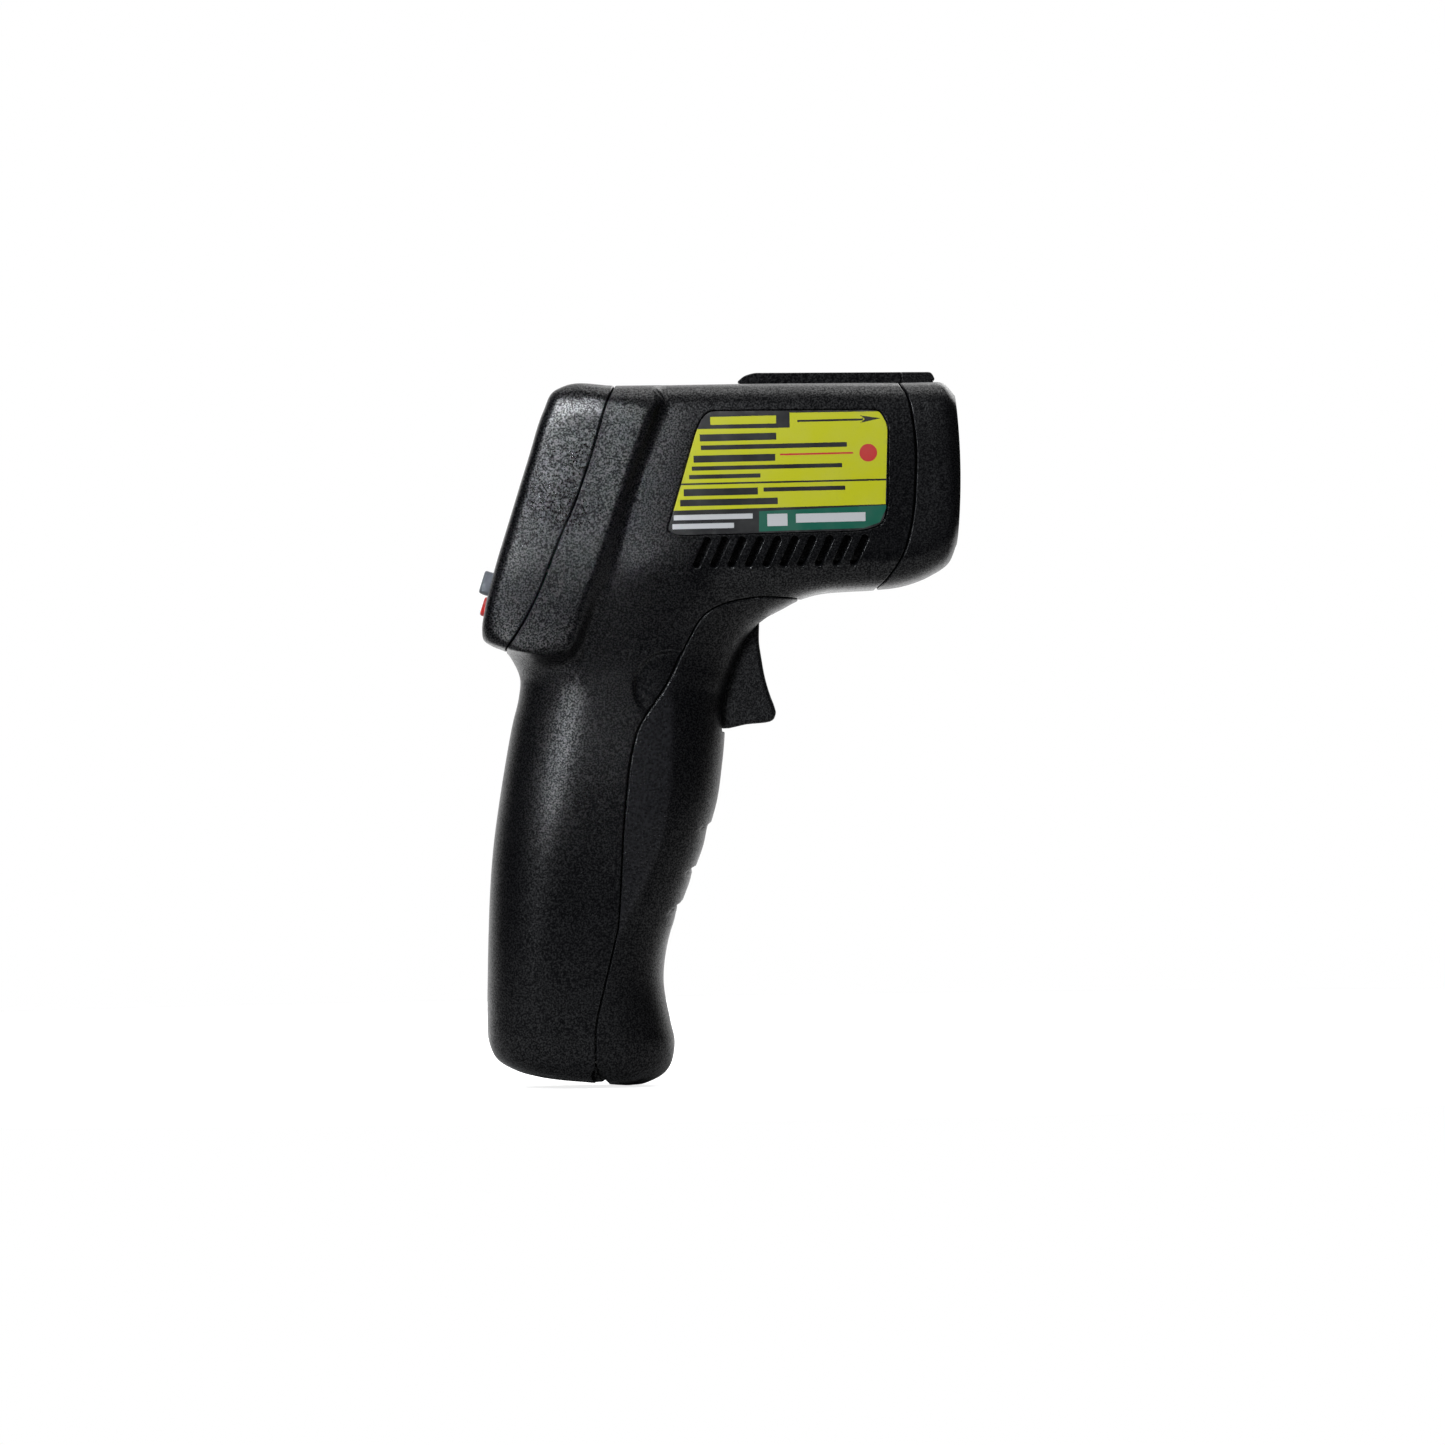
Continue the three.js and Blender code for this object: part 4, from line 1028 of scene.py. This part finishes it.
KEY_GREY = plain_plastic("key_grey", (0.13, 0.145, 0.165), 0.55)
KEY_RED = plain_plastic("key_red", (0.62, 0.02, 0.014), 0.3, coat=0.4)
STEEL = metal("steel", (0.55, 0.56, 0.58), 0.32)
BRASS = metal("brass", (0.68, 0.46, 0.17), 0.3)
CLEAR = clear_plastic("window_clear", (0.9, 0.94, 0.95), 0.04)
GUIDE = clear_plastic("guide_clear", (0.85, 0.9, 0.92), 0.25)
LENS = plain_plastic("lens_milky", (0.62, 0.62, 0.6), 0.42, coat=0.3)
BOARD = circuit_board("board_green")
RUBBER = plain_plastic("rubber_grey", (0.2, 0.2, 0.2), 0.7)
RIBBON = plain_plastic("ribbon_white", (0.7, 0.7, 0.68), 0.45)
CELL = plain_plastic("cell_case", (0.035, 0.04, 0.05), 0.35, coat=0.2)
LEAD_RED = plain_plastic("lead_red", (0.5, 0.015, 0.012), 0.45)
LEAD_BLACK = plain_plastic("lead_black", (0.01, 0.01, 0.01), 0.45)
FILM = printed_film("label_film")


# ---- building the pieces

def finish_piece(made, node, body):
    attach(made, body)
    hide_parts(node)


SKIN = whole_skin()

REAR_ZONE = zone(REAR_SEAM, [(-90, 80), (-90, 180), (-21.8, 180)])
NOSE_ZONE = zone(NOSE_SEAM, [(90, 90), (90, 180), (37.2, 180)])
DOOR_ZONE = zone(DOOR_SEAM, [(90, 60), (90, -20), (-28, -20)])
LEAF_ZONE = zone(LEAF_EDGE, [(-60, 29), (-60, 88)])
front_of_rear, behind_rear = outside(REAR_ZONE), inside(REAR_ZONE)
behind_nose, ahead_of_nose = outside(NOSE_ZONE), inside(NOSE_ZONE)
behind_door, ahead_of_door = outside(DOOR_ZONE), inside(DOOR_ZONE)


def leaf_mark(p):
    """1 on the grained leaf beside the door's rear edge, fading over its border."""
    return smooth_fall(-0.5, 0.5, LEAF_ZONE(p))


def add_rail(pile, from_x, to_x, side=0):
    """The part of the sight rail between two places, on one side or across both."""
    outline = rounded_outline(RAIL[1:-1], 0.7)
    line = [tuple(q) for q in outline if from_x < q[0] < to_x]
    if from_x > RAIL[1][0]:
        line.insert(0, (from_x, np.interp(from_x, *outline.T)))
    if to_x < RAIL[-2][0]:
        line.append((to_x, np.interp(to_x, *outline.T)))
    line = [(from_x, RAIL_FOOT), *line, (to_x, RAIL_FOOT)]
    low, high = sorted((side * GAP / 2, side * RAIL_HALF)) if side else (-RAIL_HALF, RAIL_HALF)
    pile.put(prism(line, low, high, 0.3), ALONG_Y)


def tube(inner, outer, low, high):
    return [(inner, low), (outer, low), (outer, high), (inner, high), (inner, low)]


def boss_top(x, z, radius):
    """How far from the middle plane a boss can reach and stay under the skin."""
    near = off_axis(SKIN.p, x, z) < radius + 0.5
    return SKIN.p[near & (SKIN.p[:, 1] > 0.5), 1].min() - 0.3


def body_half(side):
    fields = [front_of_rear, behind_nose, behind_door, half_field(side), sweep_field, vent_field]
    if side > 0:
        fields += [screw_hole(x, z) for x, z in CASE_SCREWS]

    def relief(p):
        return thumb_relief(p) + (label_relief(p) if side < 0 else 0)

    def relief_near(p):
        thumb = off_axis(p, THUMB["x"], THUMB["z"]) - THUMB["radius"]
        if side > 0:
            return thumb
        label = LABEL_CHART(p)
        return np.where(np.abs(thumb) < np.abs(label), thumb, label)
    pile = moulding(fields, relief, relief_near)
    add_rail(pile, RAIL[0][0], RAIL_JOINT[0], side)
    half = half_field(side)
    pile.join(moulding([half, liner_field], wall=LINER["wall"], inset=WALL - 0.02,
                       rounding=SMALL_ROUND))
    for lip in ([door_lip, slot_field, lip_end], [nose_lip]):
        pile.join(moulding([half, *lip], wall=LIP["wall"], inset=WALL + LIP["gap"],
                           rounding=SMALL_ROUND))
    for x, z in CASE_SCREWS:
        if side < 0:
            profile = tube(1.6, 3, GAP / 2, boss_top(x, z, 3))
        else:
            seat = SCREW_HEAD["seat"] - GAP
            wide = 4 if boss_top(x, z, 4) > seat + 0.4 else 3.3
            top = boss_top(x, z, wide)
            profile = [(1.6, GAP / 2), (wide, GAP / 2), (wide, top), (2.85, top), (2.85, seat),
                       (1.6, seat), (1.6, GAP / 2)]
        pile.put(lathe(profile), [(1, 0, 0), (0, 0, 1), (0, side, 0)], (x, 0, z))
    hinge = DOOR_PIVOT[0]
    lug = rounded_outline([(-36, 1.6), (hinge - 0.3, 1.0), (hinge + 1.2, 1.5), (hinge + 1.2, 3.5),
                           (hinge + 0.5, 4.4), (-36, 4.4)], 0.8)
    low, high = sorted((side * (KNUCKLE["half"] + GAP), side * KNUCKLE["end"]))
    pile.put(prism(lug, low, high, 0.15), ALONG_Y)
    name = "body_right" if side < 0 else "body_left"
    finish_piece(pile.object(name + "_shell", SPARK), name, "housing")


body_half(-1)
body_half(1)

pile = moulding([behind_rear, face_hole(WINDOW["at"], WINDOW["size"], WINDOW["corner"]),
                 *[face_hole(b["at"], b["size"], 1.4) for b in BUTTONS.values()]])
finish_piece(pile.object("display_cap_shell", SPARK), "display_cap", "housing")

pile = moulding([ahead_of_nose, round_hole(SIGHT_Z, APERTURE), round_hole(LASER_Z, LASER_HOLE)])
add_rail(pile, RAIL_JOINT[1], RAIL[-1][0])
finish_piece(pile.object("nose_cap_shell", SATIN), "nose_cap", "housing")

pile = moulding([ahead_of_door, slot_field], step_relief, mark=leaf_mark)
knuckle = tube(KNUCKLE["bore"], KNUCKLE["radius"], -KNUCKLE["half"], KNUCKLE["half"])
pile.put(lathe(knuckle), ALONG_Y, (DOOR_PIVOT[0], 0, DOOR_PIVOT[1]))
finish_piece(pile.object("battery_door_shell", SOFT), "battery_door", "door")


def build(name, material, node, body, slot, axes, origin, *shapes):
    """A piece made of whole shapes that lie along the same axes."""
    pile = Pile()
    for shape in shapes:
        pile.put(shape, axes, origin)
    finish_piece(pile.object(name, material), node, body)


blade = curve_through([*TRIGGER_OUTLINE, TRIGGER_OUTLINE[0]], 4)[:-1]
build("trigger_blade", TRIGGER_BLACK, "trigger", "trigger", "spark_plastic", ALONG_Y, (0, 0, 0),
      prism(blade, -TRIGGER_HALF, TRIGGER_HALF, 0.9, 6))

# Keys on the display face: cap, flange and stem.
for name, b in BUTTONS.items():
    wide, tall = b["size"]
    blocks = (((wide, tall), 1.2, -3.6, b["top"], 0.45),
              ((wide + 1, tall + 1), 0.8, -4.2, -3.4, 0.1, 2), ((3, 3), 0.6, -4.6, -4.1, 0.05, 2))
    red = name == "button_red"
    build(name + "_key", KEY_RED if red else KEY_GREY, name, name.replace("button", "key"),
          "red_key" if red else "grey_key", ON_FACE, FACE_MIDDLE,
          *[prism(rounded_box(b["at"], size, corner), *rest) for size, corner, *rest in blocks])

pane = rounded_box(WINDOW["at"], WINDOW["size"], WINDOW["corner"])
build("display_window_pane", CLEAR, "display_window", "housing", "window_clear",
      ON_FACE, FACE_MIDDLE, prism(pane, -1.4, -0.2, 0.25))

# Radius and X of the lens ring and of the domed lens, turned round the sight line.
ring = [(8.5, 44), (10.3, 44), (10.3, 50.3), (10.0, 50.7), (9.6, 50.8), (9.0, 50.7), (7.4, 49.4),
        (7.0, 49.1), (7.0, 48.4), (8.5, 48.4), (8.5, 44)]
build("lens_ring_bezel", RING_BLACK, "lens_ring", "housing", "ring_black",
      ALONG_X, (0, 0, SIGHT_Z), lathe(ring, 96))
dome = [(0.01, 46.6), (8.2, 46.6), (8.2, 47.2)]
dome += [(8.2 * math.cos(a), 47.2 + 0.9 * math.sin(a)) for a in np.linspace(0.1, 1.56, 12)]
dome.append((0.01, 48.1))
build("ir_lens_dome", LENS, "ir_lens", "housing", "lens_milky",
      ALONG_X, (0, 0, SIGHT_Z), lathe(dome, 64))

# Label: film with printed blocks, and bars in place of wording.
YELLOW, TEAL = (0.6, 0.61, 0.006, 1), (0.0, 0.115, 0.07, 1)
INK, WHITE, RED = (0.008, 0.008, 0.009, 1), (0.6, 0.61, 0.62, 1), (0.6, 0.03, 0.025, 1)


def bar(from_x, to_x, z, tall):
    rise = (to_x - from_x) * 0.008
    return [(from_x, z - tall / 2), (to_x, z - tall / 2 + rise), (to_x, z + tall / 2 + rise),
            (from_x, z + tall / 2)]


def disc(x, z, radius):
    return [(x + radius * math.cos(a), z + radius * math.sin(a))
            for a in np.linspace(0, 2 * math.pi, 24, endpoint=False)]


PRINT = [
    ([(15.4, 143.1), (15.4, 139.9), (-4.8, 139.9), (-10.8, 122.6), (35.5, 123.3), (36.2, 140.3),
      (34.6, 143.1)], YELLOW),
    ([(8.6, 122.2), (8.5, 117.9), (30.8, 118.3), (34.3, 119.5), (35.9, 123.1)], TEAL),
    (bar(-1.5, 12.5, 141.6, 1.7), YELLOW),
    (bar(17, 31, 141.3, 0.45), INK),
    ([(30.4, 142.3), (34.8, 141.6), (30.4, 140.7), (31.4, 141.5)], INK),
    (bar(-3.8, 12.5, 138.0, 1.5), INK), (bar(-3.6, 27.5, 135.9, 1.0), INK),
    (bar(-5.2, 12.2, 133.5, 1.5), INK), (bar(-5.6, 26.4, 131.5, 0.9), INK),
    (bar(-6.2, 9, 129.7, 0.9), INK), (bar(-8, 35.8, 128.2, 0.4), INK),
    (bar(-7.4, 8.4, 126.4, 1.5), INK), (bar(9.6, 27, 126.8, 0.9), INK),
    (bar(-8.2, 12.6, 124.2, 1.4), INK),
    (bar(13.2, 28.8, 134.2, 0.4), RED), (disc(32, 134.3, 1.9), RED),
    (bar(-9.6, 7.2, 121.1, 1.1), WHITE), (bar(-9.9, 3.2, 119.2, 1.1), WHITE),
    (bar(10.3, 14.6, 120.3, 2.6), WHITE), (bar(16.4, 31.2, 120.6, 1.9), WHITE),
]


def label():
    chart = Chart(lerp(LABEL_SHAPE, LABEL_MIDDLE, 0.012))

    def within(p):
        return np.where(p[:, 1] < 0, -chart(p), -FAR)

    def off_print(p):
        return np.min([np.abs(outline_distance(o, p[:, [0, 2]])) for o, _ in PRINT], 0)
    sheet = SKIN.kept(within(SKIN.p)[SKIN.t].max(1) > -2).refined(off_print)
    for outline, _ in PRINT:
        sheet = sheet.cut(outline_distance(outline, sheet.p[:, [0, 2]]))
    pile = moulding([within], wall=0.45, inset=0.15, rounding=SMALL_ROUND, start=sheet)
    p, _, t, _ = pile.whole()
    middles = p[t].mean(1)[:, [0, 2]]
    colours = np.tile(np.array(INK), (len(middles), 1))
    for outline, colour in PRINT:
        colours[outline_distance(outline, middles) < 0] = colour
    return pile.object("label_right_film", FILM, colours)


finish_piece(label(), "label_right", "housing")

# CAD nodes that keep their shape: edges softened, real finishes.
CARRIED = (
    (STEEL, "board_screw_1 board_screw_2 thermopile door_hinge_pin trigger_pin trigger_spring"
            " battery_stud_positive battery_stud_negative"
            " case_screw_1 case_screw_2 case_screw_3 case_screw_4"),
    (DARK, "lcd_frame controller_chip buzzer tact_switch_1 tact_switch_2 tact_switch_3 sensor_tube"
           " trigger_bracket trigger_switch battery_snap battery_tray"),
    (CELL, "lcd_glass battery"), (BOARD, "main_board sensor_board"), (GUIDE, "light_guide"),
    (RUBBER, "zebra_strip"), (BRASS, "laser_module"), (CLEAR, "laser_window"),
    (RIBBON, "sensor_ribbon"), (LEAD_RED, "lead_red"), (LEAD_BLACK, "lead_black"),
)
SOFT_ALREADY = ("trigger_spring", "lead_red", "lead_black", "sensor_ribbon")
for name, material in [(name, look) for look, names in CARRIED for name in names.split()]:
    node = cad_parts[name]
    if not node.material_slots:
        node.data.materials.append(material)
    for slot in node.material_slots:
        slot.material = material
    if name not in SOFT_ALREADY:
        soften = node.modifiers.new("soft_edges", "BEVEL")
        soften.width, soften.segments = 0.00012, 2
        soften.limit_method, soften.angle_limit = "ANGLE", math.radians(50)

# ---- stage, light, camera

m = Nodes("studio_floor")
paper = m.mix(m.span(m.noise(30, 3), 0.3, 0.7, 0, 0.3), (0.9, 0.9, 0.9), (0.88, 0.88, 0.88))
back = m.new("ShaderNodeSeparateXYZ", {"Vector": m.place()}).outputs["Y"]
seen = m.new("ShaderNodeLightPath").outputs["Is Camera Ray"]
glow = m.math("MAXIMUM", m.span(back, 0.02, 0.2), seen)
paper_floor = m.shader(Base_Color=m.mix(glow, (0.45, 0.45, 0.45), paper), Roughness=0.9,
                       Emission_Color=paper, Emission_Strength=m.times(glow, 0.9))
low, high = cad_box
middle = (low + high) / 2
FLOOR = {"radius": 0.45, "y": 0.25, "below": 0.0003, "sides": 64}
turns = np.linspace(0, 2 * math.pi, FLOOR["sides"], endpoint=False)
points = [(FLOOR["radius"] * math.cos(a), FLOOR["y"] + FLOOR["radius"] * math.sin(a),
           low.z - FLOOR["below"]) for a in turns]
mesh = bpy.data.meshes.new("studio_floor")
mesh.from_pydata(points, [], [tuple(range(FLOOR["sides"]))])
mesh.materials.append(paper_floor)
studio_floor = bpy.data.objects.new("studio_floor", mesh)
bpy.context.scene.collection.objects.link(studio_floor)

world = bpy.data.worlds.new("studio")
bpy.context.scene.world = world
world.use_nodes = True
w = Nodes("studio", world.node_tree)
world.node_tree.nodes.clear()
way = w.new("ShaderNodeTexCoord").outputs["Generated"]
direction = w.new("ShaderNodeSeparateXYZ", {"Vector": way})
behind = w.span(direction.outputs["Y"], 0.4, 0.95, 0.02, 1.1)
above = w.span(direction.outputs["Z"], 0.3, 1.0, 0.0, 0.3)
light, white = (
    w.new("ShaderNodeBackground", {"Color": (1, 1, 1, 1), "Strength": strength}).outputs[0]
    for strength in (w.math("ADD", behind, above), 1.0)
)
seen = w.new("ShaderNodeLightPath").outputs["Is Camera Ray"]
both = w.new("ShaderNodeMixShader", {0: seen, 1: light, 2: white})
w.new("ShaderNodeOutputWorld", {"Surface": both.outputs[0]})


# Lamps: name, place, size, watts, what it points at, spread in degrees, tint.
COOL, PLAIN = (0.93, 0.96, 1), (1, 1, 1)
LAMPS = (
    ("key_left", (-0.26, -0.47, 0.34), (0.13, 0.2), 2.7, middle, 180, COOL),
    ("collar_beam", (-0.085, -0.45, 0.26), (0.05, 0.05), 0.008, (-0.044, -0.021, 0.135), 4.4, COOL),
    ("grip_beam", (-0.25, -0.47, 0.12), (0.035, 0.06), 0.0017, (-0.032, -0.02, 0.087), 3.4, COOL),
    ("top", (0.1, 0.1, 1.1), (1.0, 0.6), 4, middle, 180, PLAIN),
    ("rear", (0.5, 0.9, 0.7), (0.9, 0.7), 5, middle, 180, PLAIN),
)
for name, place, size, watts, aim, spread, tint in LAMPS:
    data = bpy.data.lights.new(name, "AREA")
    data.shape = "RECTANGLE"
    data.size, data.size_y = size
    data.energy, data.color, data.spread = watts, tint, math.radians(spread)
    lamp = bpy.data.objects.new(name, data)
    lamp.location = place
    lamp.rotation_euler = (Vector(aim) - Vector(place)).to_track_quat("-Z", "Y").to_euler()
    bpy.context.scene.collection.objects.link(lamp)

VIEW_WIDTH = 0.3102
VIEW_MIDDLE = Vector((0.0001, 0, 0.0774))
DISTANCE = 2.2
ROLL = math.radians(-0.9)
SENSOR = 36
camera = bpy.data.objects.new("camera", bpy.data.cameras.new("camera"))
bpy.context.scene.collection.objects.link(camera)
camera.location = VIEW_MIDDLE + Vector((0, -DISTANCE, 0))
level = Matrix.Rotation(math.pi / 2, 3, "X")
camera.rotation_euler = (level @ Matrix.Rotation(ROLL, 3, "Z")).to_euler()
camera.data.sensor_width = SENSOR
camera.data.lens = SENSOR * DISTANCE / VIEW_WIDTH
camera.data.clip_end = 20
bpy.context.scene.camera = camera
bpy.context.scene.view_settings.view_transform = "Standard"
